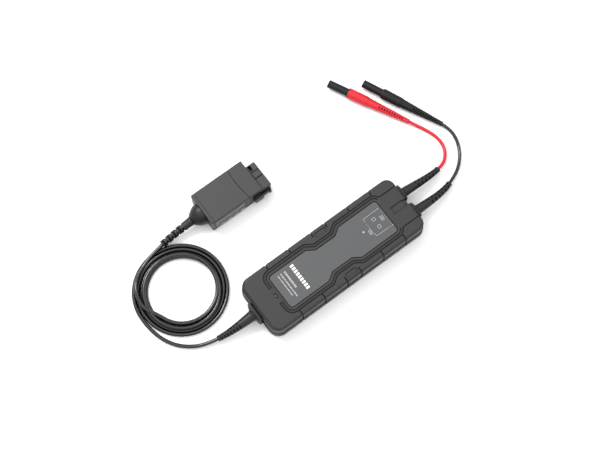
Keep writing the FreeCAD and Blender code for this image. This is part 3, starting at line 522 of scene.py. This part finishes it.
def slotted(plain, middles, width, depth, bridges, half_bridge):
    """A radius with ring slots cut into it; each ring keeps two bridges, turned ring by ring."""
    def radius(distance, angle):
        out = plain(distance)
        for number, middle in enumerate(middles):
            away = abs(distance - middle) - width / 2
            if away > 0.3:
                continue
            inside = 1 - ramp(away, -0.1, 0.1)
            turned = angle - bridges[number % len(bridges)]
            from_bridge = abs(math.remainder(turned, math.pi))
            out -= depth * inside * ramp(from_bridge, half_bridge - BRIDGE_SOFT,
                                          half_bridge + BRIDGE_SOFT)
        return out
    return radius


def turned_ring(stations, columns, place):
    """A lathe shape: stations are (distance, radius) and place maps (distance, radius, angle)."""
    turns = [2 * math.pi * column / columns for column in range(columns)]
    return skin([[place(distance, out, turn) for turn in turns] for distance, out in stations])


# ---------------------------------------------------------------- strain reliefs
CASE_END, RELIEF_LEVEL = 103.4, 13.0
QUARTER = math.pi / 4


def sleeve(start, start_way, route, base, end, slots, bridges, bridge_degrees, collar):
    """A tapered sleeve with a collar at its base and ring slots, and the numbers of their floors.

    route is where the cord leaves the sleeve and the cord's next point. slots gives the first and
    last slot as shares of the length, their count, width and depth.
    """
    first, last, count, width, depth = slots
    half_bridge = math.radians(bridge_degrees)
    tip, beyond = (Vector(point) for point in route)
    path = bezier(start, start_way, tip, beyond - tip)
    length = sum((path((i + 1) / 100) - path(i / 100)).length for i in range(100))
    middles = [length * (first + (last - first) * index / (count - 1)) for index in range(count)]

    def plain(distance):
        share = distance / length
        out = base + (end - base) * share ** 0.92
        out += collar * (1 - ramp(distance, 2.6, 3.6))
        out += 0.25 * ramp(distance, length - 2.0, length - 1.6)
        return out - 0.5 * ramp(distance, length - 0.5, length)

    stations = sorted(set(slot_stations(length, middles, width)
                          + [2.6, 3.1, 3.6, length - 2.0, length - 1.6, length - 0.5, length - 0.2]))
    cutter = slotted(plain, middles, width, depth, bridges, half_bridge)
    floors = slot_floors(stations, middles, width, bridges, half_bridge)
    return swept(path, stations, cutter), floors


def wall_parts(side, y, width, thick, neck):
    """The flange outside the case wall, the neck through the wall and the anchor behind it."""
    def part(low, high, half_y, half_z, edge):
        x0, x1 = (low, high) if side > 0 else (-high, -low)
        return block((x0, y - half_y, RELIEF_LEVEL - half_z), (x1, y + half_y, RELIEF_LEVEL + half_z), edge)

    flange = CASE_END + thick
    return [part(CASE_END, flange, width / 2, 9.5, 0.8),
            part(flange - 0.4, flange + 0.9, width / 2 - 2.4, 7.6, 0.5),
            part(CASE_END - 4.0, CASE_END + 0.5, neck / 2 - 0.05, 6.45, 0.2),
            part(CASE_END - 5.0, CASE_END - 3.1, neck / 2 + 1, 8.0, 0.3)]


def lead_boots():
    """The strain reliefs of the two leads, each with the flange that holds it in the case wall."""
    for colour, side, route in (("red", 1, RED_ROUTE), ("black", -1, BLACK_ROUTE)):
        start = (CASE_END + 1.3, side * 12.5, RELIEF_LEVEL)
        tube, floors = sleeve(start, (1, 0, -0.04), route[:2], 5.8, 3.2,
                              (0.36, 0.94, 13, 1.1, 0.95), (QUARTER, -QUARTER), 56, 0.5)
        piece(f"{colour}_boot", join(tube, *wall_parts(1, side * 12.5, 18.6, 2.5, 11.0)), "soft_black",
              [f"{colour}_lead_boot"], apart=floors)


def output_boot():
    """The strain relief of the output cable, at the rear wall."""
    start = (-CASE_END - 2.4, 0.0, RELIEF_LEVEL)
    tube, floors = sleeve(start, (-1, 0, -0.04), ENTRY_ROUTE[:2], 6.5, 3.1,
                          (0.42, 0.94, 14, 0.9, 0.8), (QUARTER, -QUARTER), 54, 0.6)
    piece("cable_boot", join(tube, *wall_parts(-1, 0.0, 23.0, 3.6, 16.0)), "soft_black",
          ["output_cable_boot"], apart=floors)


DOME_BASE, DOME_LONG, DOME_Y, DOME_RADIUS = -85.4, 14.3, 126.5, 13.0


def dome_and_boot():
    """The round end of the interface box's cap, and the strain relief that comes out of it."""
    def place(distance, out, angle):
        return (DOME_BASE - distance, DOME_Y + out * math.sin(angle), DOME_RADIUS + out * math.cos(angle))

    stations = [(0.0, 12.2), (0.0, 12.7), (0.25, 12.95)]
    for step in range(1, 25):
        share = step / 24
        stations.append((0.25 + (DOME_LONG - 0.55) * share,
                         5.7 + 7.25 * math.cos(share * math.pi / 2) ** 0.86))
    stations += [(DOME_LONG - 0.1, 5.5), (DOME_LONG, 5.2), (DOME_LONG, 4.0)]
    piece("cable_dome", turned_ring(stations, 72, place), "soft_black", ["interface_dome"])
    start = (DOME_BASE - DOME_LONG + 0.02, DOME_Y, DOME_RADIUS)
    tube, floors = sleeve(start, (-1, 0, -0.14), EXIT_ROUTE[:-3:-1], 5.0, 4.1,
                          (0.30, 0.93, 8, 1.5, 1.15), (0.0, 2 * QUARTER), 26, 0.25)
    piece("box_boot", tube, "soft_black", ["interface_boot"], apart=floors)


# ---------------------------------------------------------------- plugs
TAIL_LONG, GRIP_LONG = 51.7, 25.5
TAIL_TIP, TAIL_SPREAD = 2.55, 2.75  # radius at the cable, and how much it gains up to the grip
SLOT_COUNT, SLOT_FROM, SLOT_PITCH = 10, 8.2, 3.15
SLOT_TURN, SLOT_WIDE, SLOT_DEEP, SLOT_BRIDGE = -0.3, 1.3, 0.9, math.radians(71)
GRIP_COLUMNS, FLUTES, FLUTE_DEEP = 64, 16, 0.16
SHEATH_BORE, PIN_BORE = 4.66, 2.01


def plug_frame(tail, heading):
    """Maps a plug's own (distance, radius, angle) to its place, the angle measured from the top."""
    ahead = Vector((heading[0], heading[1], math.hypot(*heading) * DROOP)).normalized()
    side = Vector((0, 0, 1)).cross(ahead).normalized()
    top = ahead.cross(side)
    origin = Vector(tail)
    return lambda distance, out, angle: tuple(
        origin + ahead * distance + (top * math.cos(angle) - side * math.sin(angle)) * out)


def plug_tail(place):
    """The tapered tail with its rows of slots, and the numbers of the slots' floors."""
    middles = [SLOT_FROM + SLOT_PITCH * index for index in range(SLOT_COUNT)]
    bridges = (SLOT_TURN + 2 * QUARTER,)

    def plain(distance):
        out = TAIL_TIP + TAIL_SPREAD * (distance / TAIL_LONG)
        return out + 0.25 * (1 - ramp(distance, 1.2, 1.8)) - 0.35 * (1 - ramp(distance, 0.0, 0.4))

    cutter = slotted(plain, middles, SLOT_WIDE, SLOT_DEEP, bridges, SLOT_BRIDGE)
    stations = sorted(set(slot_stations(TAIL_LONG, middles, SLOT_WIDE) + [0.2, 0.4, 1.2, 1.5, 1.8]))
    turns = [2 * math.pi * column / COLUMNS for column in range(COLUMNS)]
    rings = [[place(station, cutter(station, turn), turn) for turn in turns] for station in stations]
    return skin(rings), slot_floors(stations, middles, SLOT_WIDE, bridges, SLOT_BRIDGE)


def plug_grip(place):
    """The grip with a shoulder, shallow flutes and a front collar, and the collar's face numbers."""
    start, end = TAIL_LONG, TAIL_LONG + GRIP_LONG
    body = [(start, 5.0), (start, 5.45), (start + 0.4, 5.62)]
    body += [(start + 0.4 + 2.2 * step / 5, 5.62 + 0.3 * ramp(step / 5, 0, 1)) for step in range(1, 6)]
    body += [(start + 2.6 + 20.0 * step / 10, 5.92 + 0.3 * step / 10) for step in range(1, 11)]
    body += [(end - 1.5, 6.22), (end - 1.35, 6.1), (end - 1.3, 5.75)]
    collar = len(body) - 1
    body += [(end - 0.4, 5.7), (end, 5.4), (end, SHEATH_BORE)]
    body += [(end - 6.0, SHEATH_BORE), (end - 6.0, PIN_BORE), (end - 14.0, PIN_BORE)]

    def fluted(distance, out, angle):
        share = ramp(distance, start + 3, start + 5) * (1 - ramp(distance, end - 4.4, end - 3.4))
        return place(distance, out - FLUTE_DEEP * share * (0.5 + 0.5 * math.cos(FLUTES * angle)), angle)

    faces = range(collar * GRIP_COLUMNS, (collar + 3) * GRIP_COLUMNS)
    return turned_ring(body, GRIP_COLUMNS, fluted), set(faces)


def plugs():
    """Both plugs' tails and grips; the sheaths, pins and lanterns stay as the CAD nodes."""
    # the last entry is the painted shade on the slots' floors: dark red on the red tail, black on the black
    # one
    for colour, tail, heading, slot, gap in (
            ("red", RED_TAIL, RED_HEADING, "red_plastic", "red_gap"),
            ("black", BLACK_TAIL, BLACK_HEADING, "black_plastic", "gap")):
        place = plug_frame(tail, heading)
        shape, floors = plug_tail(place)
        piece(f"{colour}_tail", shape, slot, [f"{colour}_plug_tail"], apart=floors, apart_look=gap)
        shape, collar = plug_grip(place)
        piece(f"{colour}_grip", shape, slot, [f"{colour}_plug_grip"], apart=collar,
              apart_look="soft_black")


# ---------------------------------------------------------------- latch spring
LEAF_CORNERS = ((-28.6, 109.4), (-23.6, 109.4), (-28.2, 113.45), (-23.6, 117.5), (-28.6, 117.5))
LEAF_BEND, LEAF_THICK, LEAF_Z = 0.9, 0.4, (10, 16)


def leaf_spring():
    """The folded leaf behind the latch key, built in one shape; the real leaf shortens as the key is
    pressed.
    """
    corners = [Vector(corner) for corner in LEAF_CORNERS]
    line = [corners[0]]
    for before, corner, after in zip(corners, corners[1:], corners[2:]):
        start = corner + (before - corner).normalized() * LEAF_BEND
        end = corner + (after - corner).normalized() * LEAF_BEND
        line += [start.lerp(corner, share).lerp(corner.lerp(end, share), share)
                 for share in (0, 0.2, 0.4, 0.6, 0.8, 1)]
    line.append(corners[-1])
    rings = []
    for index, place in enumerate(line):
        ahead = (line[min(index + 1, len(line) - 1)] - line[max(index - 1, 0)]).normalized()
        side = Vector((-ahead.y, ahead.x)) * LEAF_THICK / 2
        low, high = LEAF_Z
        rings.append([(*(place + side * a), z) for a, z in ((-1, low), (1, low), (1, high), (-1, high))])
    spring = piece("latch_leaf", skin(rings), "steel", ["latch_spring"], sharp=40)
    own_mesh(spring)


# ---------------------------------------------------------------- printing on the label and the panel
LABEL_TOP, PRINT_SUNK, PRINT_PROUD = 26.3, 0.02, 0.03
BOLD_ROW = ((-46.0, -41.6), 17.6, -17.8, (2.55,), 1.12)
FINE_ROWS = (  # (low x, high x), first and last y, the bars' widths in turn, gap
    ((-55.0, -52.8), 16.2, -5.8, (1.3, 0.8, 1.5), 0.5),
    ((-59.4, -58.0), 16.4, -15.2, (1.5, 0.7, 2.1, 1.0), 0.5),
    ((-63.0, -61.8), 16.2, -11.0, (1.2, 2.0, 0.8), 0.5),
)
# x, low y and high y
SHORT_ROWS = ((66.6, -3.2, 4.2), (68.8, -2.6, 3.4), (48.8, -8.6, -1.4), (46.6, -7.8, -2.0))
SHORT_HALF, SHORT_WIDTHS, SHORT_GAP = 0.55, (1.0, 0.6, 1.4), 0.45
SQUARE_X, SQUARE_Y, SQUARE_HALF = (57.7, 61.2), (4.9, -5.1), 1.75
FRAME_LINES = (((69.6, 12.0), (50.6, 12.0)), ((50.6, 12.0), (49.6, 8.6)),
               ((50.4, -8.2), (50.6, -11.8)), ((50.6, -11.8), (67.0, -12.0)))
SPOTS = ((69.6, 12.0, 0.75), (69.4, -12.3, 0.5), (72.4, -12.2, 0.6))  # x, y, radius
SIDE_DASHES = (8.2, 5.4, 2.6, -0.2, -3.0, -5.8, -8.6)


def mark(x, y):
    """One flat printed mark on the label, given its two (low, high) ranges."""
    return block((x[0], y[0], LABEL_TOP - PRINT_SUNK), (x[1], y[1], LABEL_TOP + PRINT_PROUD), 0.02, 1)


def bars(x, y_start, y_end, widths, gap):
    """A row of bars across the label from one side to the other."""
    marks, y = [], y_start
    while y - widths[len(marks) % len(widths)] > y_end:
        wide = widths[len(marks) % len(widths)]
        marks.append(mark(x, (y - wide, y)))
        y -= wide + gap
    return marks


def stroke(start, end, wide):
    """A straight printed line between two places on the label."""
    start, end = Vector((*start, LABEL_TOP)), Vector((*end, LABEL_TOP))
    ahead = (end - start).normalized()
    side = Vector((-ahead.y, ahead.x, 0)) * wide / 2
    corners = ((-1, -PRINT_SUNK), (1, -PRINT_SUNK), (1, PRINT_PROUD), (-1, PRINT_PROUD))
    return skin([[tuple(place + side * a + Vector((0, 0, b))) for a, b in corners]
                 for place in (start, end)])


def disc(x, y, radius):
    """A round printed spot."""
    ring = [(x + radius * math.cos(turn), y + radius * math.sin(turn))
            for turn in [2 * math.pi * step / 24 for step in range(24)]]
    return skin([[(u, v, LABEL_TOP - PRINT_SUNK) for u, v in ring],
                 [(u, v, LABEL_TOP + PRINT_PROUD) for u, v in ring]])


def label_print():
    """Plain bars in rows, two open squares and a thin broken frame round them."""
    piece("label_bars", join(*bars(*BOLD_ROW)), "label_film", look="ink")
    fine = [bar for row in FINE_ROWS for bar in bars(*row)]
    fine.append(disc(41.6, 0.0, 1.1))
    for y in SQUARE_Y:
        low, high = y - SQUARE_HALF, y + SQUARE_HALF
        fine += [stroke((x, low), (x, high), 0.5) for x in SQUARE_X]
        fine += [stroke((SQUARE_X[0], edge), (SQUARE_X[1], edge), 0.5) for edge in (low, high)]
    for x, low, high in SHORT_ROWS:
        fine += bars((x - SHORT_HALF, x + SHORT_HALF), high, low, SHORT_WIDTHS, SHORT_GAP)
    piece("label_fine_marks", join(*fine), "label_film", look="faint_ink")
    lines = [stroke(start, end, 0.42) for start, end in FRAME_LINES] + [disc(*spot) for spot in SPOTS]
    lines += [stroke((49.5, 5.4 - 2.6 * step), (49.5, 4.0 - 2.6 * step), 0.4) for step in range(5)]
    lines += [stroke((71.6, y), (71.6, y - 1.1), 0.32) for y in SIDE_DASHES]
    piece("label_lines", join(*lines), "label_film", look="faint_ink")


PANEL_FACE, PANEL_X, FIRST_KEY_X, KEY_PITCH = 105.85, (-80.0, -42.2), -73.0, 9.0


def panel_mark(x, z):
    return block((x[0], PANEL_FACE - 0.05, z[0]), (x[1], PANEL_FACE + 0.02, z[1]), 0.02, 1)


def panel_print():
    """A rule along the top and one along the bottom, and two plain marks above each key."""
    fine = [panel_mark(PANEL_X, (19.4, 19.7)), panel_mark(PANEL_X, (4.7, 5.0))]
    for index in range(4):
        x = FIRST_KEY_X + KEY_PITCH * index
        fine += [panel_mark((x - 1.4, x + 0.2), (17.2, 18.4)), panel_mark((x + 0.7, x + 1.5), (17.2, 18.4))]
    piece("panel_marks", join(*fine), "panel_film", look="faint_ink")


# ---------------------------------------------------------------- upper case
HALF_LONG, HALF_WIDE, CASE_TOP, PARTING, LIP, ROUND = 103.4, 35.5, 27.0, 11.0, 0.7, 3.2
REAR_CORNER, FRONT_CORNER, WALL = 12.5, 10.5, 2.2
LABEL_X, LABEL_HALF_X, LABEL_HALF_Y, LABEL_CORNER = 0.9, 72.4, 20.85, 3.5
WAIST_HALF_Y, WAIST_FROM, WAIST_TO, WAIST_CORNER = 14.7, 22.5, 13.2, 2.0
# (distance from the label's outline, level below the top): sunk seat, sloping rim and two grooves
RELIEF = ((0.62, 1.6), (0.68, 0.62), (1.0, 0.36), (3.3, 0.20), (3.65, 0.95), (4.45, 0.95), (4.8, 0.12),
          (6.0, 0.12), (6.35, 0.95), (7.15, 0.95), (7.55, 0.0))
RIM_LONG = 3.31  # from the label's outline to where the grooves start
REAR_GAP_X, REAR_GAP_HALF, FRONT_GAP_X, FRONT_GAP_HALF, GAP_SOFT = -71.8, 9.3, 74.2, 21.6, 0.3
REAR_GAP_END, FRONT_GAP_END = -89.0, 88.0
NOTCH_HALF, NOTCH_SOFT, NOTCH_DEEP, NOTCH_FROM = 0.65, 0.14, 1.2, 28.2
NOTCHES = [3.7 + side * distance for distance in (9.4, 39.6, 70.1) for side in (-1, 1)]
LANE_Y, LANE_FROM, LANE_HALF, LANE_SOFT, LANE_DEEP = 21.3, 80.0, 0.45, 0.12, 0.9
MIDDLE_FROM, MIDDLE_HALF, MIDDLE_DEEP = 81.4, 4.4, 1.1
END_FROM, END_HALF, END_DEEP = 97.0, 3.6, 1.8
STEP_SOFT = 0.15  # half the slope of the flanks of the middle, the end and the pockets
POCKET_X, POCKET_Y, POCKET_HALF, POCKET_ROUND, POCKET_DEEP = (-3.4, 10.8), 28.0, 2.6, 1.6, 0.9
LIGHT_X, LIGHT_HOLE, LIGHT_CHAMFER, LIGHT_DEEP = -77.7, 1.6, 0.25, 4.0
FAR = 999  # past the case
COLUMN_REACH = 10  # how far inside the outer line the straight sides' stations are based


def rounded(corners, arc_steps=6):
    """Points round a closed polygon given as (x, y, corner radius), at most 6 mm apart."""
    points = []
    for index, (x, y, radius) in enumerate(corners):
        here = Vector((x, y))
        before = Vector(corners[index - 1][:2])
        after = Vector(corners[(index + 1) % len(corners)][:2])
        into, out = (here - before).normalized(), (after - here).normalized()
        half_turn = into.angle(out) / 2
        reach = radius * math.tan(half_turn)
        left = 1 if into.cross(out) > 0 else -1
        centre = here - into * reach + Vector((-into.y, into.x)) * radius * left
        start = math.atan2(*(here - into * reach - centre).yx)
        for step in range(arc_steps + 1):
            angle = start + left * 2 * half_turn * step / arc_steps
            points.append(centre + Vector((math.cos(angle), math.sin(angle))) * radius)
    spaced = []
    for before, after in zip(points, points[1:] + points[:1]):
        pieces = max(1, math.ceil((after - before).length / 6.0))
        spaced += [before.lerp(after, step / pieces) for step in range(pieces)]
    return [(point.x, point.y) for point in spaced]


def label_corners(grow):
    """The label's plan, a plate with a waist, moved outwards."""
    half_x, half_y, waist = LABEL_HALF_X + grow, LABEL_HALF_Y + grow, WAIST_HALF_Y + grow
    shift = grow * math.tan(math.atan2(12.3, 18.6) / 2)
    wide, narrow = WAIST_FROM - shift, WAIST_TO - shift
    lower = [(-half_x, -half_y, LABEL_CORNER + grow), (-wide, -half_y, WAIST_CORNER),
             (-narrow, -waist, WAIST_CORNER), (narrow, -waist, WAIST_CORNER),
             (wide, -half_y, WAIST_CORNER), (half_x, -half_y, LABEL_CORNER + grow)]
    return [(x + LABEL_X, y, r) for x, y, r in lower + [(-x, -y, r) for x, y, r in lower]]


def box_depth(x, y, x_range, y_range, soft, deep):
    """Depth of a straight-sided recess whose flanks slope over twice soft."""
    inside = min(x - x_range[0], x_range[1] - x, y - y_range[0], y_range[1] - y)
    return deep * min(1.0, max(0.0, (inside + soft) / (2 * soft)))


def pocket_depth(x, y, side):
    """Depth of a grip pocket with rounded corners."""
    half_x = (POCKET_X[1] - POCKET_X[0]) / 2
    away_x = abs(x - sum(POCKET_X) / 2) - half_x + POCKET_ROUND
    away_y = abs(y - side * POCKET_Y) - POCKET_HALF + POCKET_ROUND
    away = math.hypot(max(away_x, 0), max(away_y, 0)) + min(max(away_x, away_y), 0) - POCKET_ROUND
    return POCKET_DEEP * min(1.0, max(0.0, (STEP_SOFT - away) / (2 * STEP_SOFT)))


def edge_depth(x, y):
    """Depth of what runs out over the rounded edge: notches, lane lines and the sunk middle."""
    deepest = 0.0
    if abs(y) > NOTCH_FROM - 1:
        for notch in NOTCHES:
            deepest = max(deepest, box_depth(x, abs(y), (notch - NOTCH_HALF, notch + NOTCH_HALF),
                                             (NOTCH_FROM, FAR), NOTCH_SOFT, NOTCH_DEEP))
    if x > LANE_FROM - 1:
        deepest = max(
            deepest,
            box_depth(x, abs(y), (LANE_FROM, FAR), (LANE_Y - LANE_HALF, LANE_Y + LANE_HALF),
                      LANE_SOFT, LANE_DEEP),
            box_depth(x, y, (MIDDLE_FROM, END_FROM), (-MIDDLE_HALF, MIDDLE_HALF),
                      STEP_SOFT, MIDDLE_DEEP),
            box_depth(x, y, (END_FROM, FAR), (-END_HALF, END_HALF), STEP_SOFT, END_DEEP))
    return deepest


def relief_gap(x, y):
    """How much of the grooves is left: none behind the label by the light hole and before it."""
    rear = box_depth(x, y, (-FAR, REAR_GAP_X), (-REAR_GAP_HALF, REAR_GAP_HALF), GAP_SOFT, 1.0)
    front = box_depth(x, y, (FRONT_GAP_X, FAR), (-FRONT_GAP_HALF, FRONT_GAP_HALF), GAP_SOFT, 1.0)
    return 1.0 - max(rear, front)


def beyond_rim(x):
    """True past the ends of the rim round the label, where the grooves run."""
    return abs(x - LABEL_X) > LABEL_HALF_X + RIM_LONG


def rim_levels(places, rings):
    """For each place, its distance from the label's outline, read between the rings round it."""
    places = numpy.array(places)
    gaps, inside = [], []
    for ring in rings:
        start = numpy.array(ring)
        end = numpy.roll(start, -1, axis=0)
        run = end - start
        offset = places[:, None, :] - start[None]
        share = numpy.clip((offset * run).sum(2) / (run * run).sum(1), 0, 1)
        gaps.append(numpy.sqrt(((offset - share[..., None] * run) ** 2).sum(2)).min(1))
        over = (start[:, 1] > places[:, 1, None]) != (end[:, 1] > places[:, 1, None])
        with numpy.errstate(divide="ignore", invalid="ignore"):
            cross = run[:, 0] * (places[:, 1, None] - start[:, 1]) / run[:, 1] + start[:, 0]
        inside.append((over & (places[:, 0, None] < cross)).sum(1) % 2 == 1)
    depths, levels = [depth for _, depth in RELIEF], []
    for index in range(len(places)):
        nearest = min(range(len(rings)), key=lambda ring: gaps[ring][index])
        outer = next((ring for ring in range(len(rings)) if inside[ring][index]), None)
        if gaps[nearest][index] < 0.004:
            levels.append(depths[nearest])
        elif outer is None:
            levels.append(0.0)
        elif outer == 0:
            levels.append(depths[0])
        else:
            low, high = gaps[outer - 1][index], gaps[outer][index]
            levels.append(depths[outer - 1] + (depths[outer] - depths[outer - 1]) * low / (low + high))
    return levels


def case_columns():
    """Stations round the case: (base x, base y, outward x, outward y, reach to the outer line)."""
    def runs(low, high, recesses):
        """Stations along a straight side, with a close set where a recess's flanks come out."""
        places = {round(low + (high - low) * step / 24, 3) for step in range(25)}
        places = {p for p in places if all(abs(p - middle) > 1.2 for middle in recesses)} | {low, high}
        for middle, (half, soft) in recesses.items():
            places |= {middle + side * half + flank * soft for side in (-1, 1) for flank in (-1, 1)}
        return sorted(places)

    notches = {notch: (NOTCH_HALF, NOTCH_SOFT) for notch in NOTCHES}
    lane = (LANE_HALF, LANE_SOFT)
    front = {LANE_Y: lane, -LANE_Y: lane, 0.0: (END_HALF, STEP_SOFT)}
    low_x, high_x = -HALF_LONG + REAR_CORNER, HALF_LONG - FRONT_CORNER
    rear_y, front_y = HALF_WIDE - REAR_CORNER, HALF_WIDE - FRONT_CORNER
    base_x, base_y = HALF_LONG - COLUMN_REACH, HALF_WIDE - COLUMN_REACH
    columns = [(x, -base_y, 0, -1, COLUMN_REACH) for x in runs(low_x, high_x, notches)]
    columns += corner_columns(high_x, -front_y, -90, FRONT_CORNER)
    columns += [(base_x, y, 1, 0, COLUMN_REACH) for y in runs(-front_y, front_y, front)]
    columns += corner_columns(high_x, front_y, 0, FRONT_CORNER)
    columns += [(x, base_y, 0, 1, COLUMN_REACH) for x in reversed(runs(low_x, high_x, notches))]
    columns += corner_columns(low_x, rear_y, 90, REAR_CORNER)
    columns += [(-base_x, y, -1, 0, COLUMN_REACH) for y in reversed(runs(-rear_y, rear_y, {}))]
    columns += corner_columns(low_x, -rear_y, 180, REAR_CORNER)
    return columns


def corner_columns(x, y, start, radius):
    """The stations between two straight sides, fanned out round a corner's middle."""
    steps = 12
    turns = [math.radians(start + 90 * step / steps) for step in range(1, steps)]
    return [(x, y, math.cos(turn), math.sin(turn), radius) for turn in turns]


def at_inset(column, inset):
    """The place on a station that far inside the outer line."""
    x, y, out_x, out_y, reach = column
    return x + out_x * (reach - inset), y + out_y * (reach - inset)


def side_profile(rear):
    """(inset, level, steepness) down the side: a rounding, or at the rear a straight slope."""
    rows = []
    for step in range(9):
        turn = math.pi / 2 * step / 8
        inset, drop = ROUND * (1 - math.sin(turn)), ROUND * (1 - math.cos(turn))
        share = step / 8
        sloped = (ROUND * (1 - share) ** 1.15, 4.4 * share ** 1.1)
        rows.append((LIP + inset + (sloped[0] - inset) * rear, CASE_TOP - drop - (sloped[1] - drop) * rear,
                     turn))
    flat = math.pi / 2
    return rows + [(LIP, 18.0, flat), (LIP, PARTING + 0.35, flat), (LIP + 0.25, PARTING + 0.05, flat)]


def recess_lines(x_range, y_range, soft):
    """The upper and lower edge of a recess's flanks; open ends stop at the top's outline."""
    made = []
    for grow in (soft, -soft):
        x0, x1 = x_range[0] - grow, min(x_range[1] + grow, HALF_LONG - LIP - ROUND)
        y0, y1 = y_range[0] - grow, y_range[1] + grow
        made.append([(x0, y0), (x1, y0), (x1, y1), (x0, y1)])
    return made


def side_lines(side):
    """Edges of the lane line, the notches and the grip pocket on one side of the case."""
    side_edge = HALF_WIDE - LIP - ROUND
    y_range = sorted((side * (LANE_Y - LANE_HALF), side * (LANE_Y + LANE_HALF)))
    lines = recess_lines((LANE_FROM, FAR), y_range, LANE_SOFT)
    for notch in NOTCHES:
        for grow in (NOTCH_SOFT, -NOTCH_SOFT):
            x0, x1 = notch - NOTCH_HALF - grow, notch + NOTCH_HALF + grow
            inner = side * (NOTCH_FROM - grow)
            lines.append([(x0, inner), (x1, inner), (x1, side * side_edge), (x0, side * side_edge)])
    for grow in (STEP_SOFT, -STEP_SOFT):
        radius = POCKET_ROUND + grow
        low_x, high_x = POCKET_X[0] - grow, POCKET_X[1] + grow
        low_y, high_y = (side * POCKET_Y + end * (POCKET_HALF + grow) for end in (-1, 1))
        lines.append(rounded([(low_x, low_y, radius), (high_x, low_y, radius),
                              (high_x, high_y, radius), (low_x, high_y, radius)], 5))
    return lines


def contour_lines(outline):
    """Closed lines in plan that the top's mesh follows: its outline, then the relief, then the rest."""
    lines = [outline] + [rounded(label_corners(distance)) for distance, depth in RELIEF]
    for side in (-1, 1):
        lines += side_lines(side)
    lines += recess_lines((MIDDLE_FROM, END_FROM), (-MIDDLE_HALF, MIDDLE_HALF), STEP_SOFT)
    lines += recess_lines((END_FROM, FAR), (-END_HALF, END_HALF), STEP_SOFT)
    for grow in (GAP_SOFT, -GAP_SOFT):
        rear, front = REAR_GAP_HALF + grow, FRONT_GAP_HALF + grow
        lines.append([(REAR_GAP_END, -rear), (REAR_GAP_X + grow, -rear),
                      (REAR_GAP_X + grow, rear), (REAR_GAP_END, rear)])
        lines.append([(FRONT_GAP_X - grow, -front), (FRONT_GAP_END, -front),
                      (FRONT_GAP_END, front), (FRONT_GAP_X - grow, front)])
    for radius in (LIGHT_HOLE + LIGHT_CHAMFER, LIGHT_HOLE, LIGHT_HOLE - 0.04):
        lines.append([(LIGHT_X + radius * math.cos(math.pi * step / 12),
                       radius * math.sin(math.pi * step / 12)) for step in range(24)])
    return lines


def top_mesh(outline):
    """Vertices and faces of the top, and the vertex at each point of its outline."""
    lines = contour_lines(outline)
    points, edges = [], []
    for line in lines:
        start = len(points)
        points += [Vector(point) for point in line]
        edges += [(start + step, start + (step + 1) % len(line)) for step in range(len(line))]
    flat, _, triangles, sources, _, _ = delaunay_2d_cdt(points, edges, [], 0, 1e-5)
    levels = rim_levels([tuple(point) for point in flat], lines[1:1 + len(RELIEF)])
    verts, on_outline = [], {}
    for index, (point, level) in enumerate(zip(flat, levels)):
        x, y = point
        if beyond_rim(x):
            level *= relief_gap(x, y)
        level = max(level, edge_depth(x, y), pocket_depth(x, y, 1), pocket_depth(x, y, -1))
        from_light = math.hypot(x - LIGHT_X, y)
        if from_light < LIGHT_HOLE + LIGHT_CHAMFER - 0.01:
            level = LIGHT_DEEP if from_light < LIGHT_HOLE - 0.02 else 0.3
        verts.append((x, y, CASE_TOP - level))
        for source in sources[index]:
            if source < len(outline):
                on_outline[source] = index
    return verts, [list(face) for face in triangles], [on_outline[index] for index in range(len(outline))]


def upper_case():
    """The upper case: relief on top as a mesh through every contour line, and the sides below it."""
    columns = case_columns()
    verts, faces, first = top_mesh([at_inset(column, LIP + ROUND) for column in columns])
    rows = [first]
    rears = [ramp(-column[2], 0.25, 0.9) if column[0] < 0 else 0.0 for column in columns]
    profiles = [side_profile(rear) for rear in rears]
    for row in range(1, len(profiles[0])):
        rows.append([])
        for column, profile in zip(columns, profiles):
            inset, level, turn = profile[row]
            depth = edge_depth(*at_inset(column, LIP + ROUND - 0.01))
            rows[-1].append(len(verts))
            verts.append((*at_inset(column, inset + depth * math.sin(turn)),
                          level - depth * math.cos(turn)))
    for inset, level in ((LIP + WALL, PARTING + 0.05), (LIP + WALL, CASE_TOP - 3.0)):
        rows.append([])
        for column in columns:
            rows[-1].append(len(verts))
            verts.append((*at_inset(column, inset), level))
    count = len(columns)
    for upper, lower in zip(rows, rows[1:]):
        for index in range(count):
            after = (index + 1) % count
            faces.append([upper[index], lower[index], lower[after], upper[after]])
    faces.append(list(reversed(rows[-1])))
    case = piece("upper_case_relief", (verts, faces), "case_plastic", ["upper_case"], sharp=28)
    case.modifiers.new("even_shading", "WEIGHTED_NORMAL").keep_sharp = True


upper_case()
lead_boots()
output_boot()
dome_and_boot()
leaf_spring()
plugs()
label_print()
panel_print()


def declare_cords():
    for colour, cord, tip in (("red", red_cord, RED_TIP), ("black", black_cord, BLACK_TIP)):
        [axis * MM for axis in tip]


declare_cords()
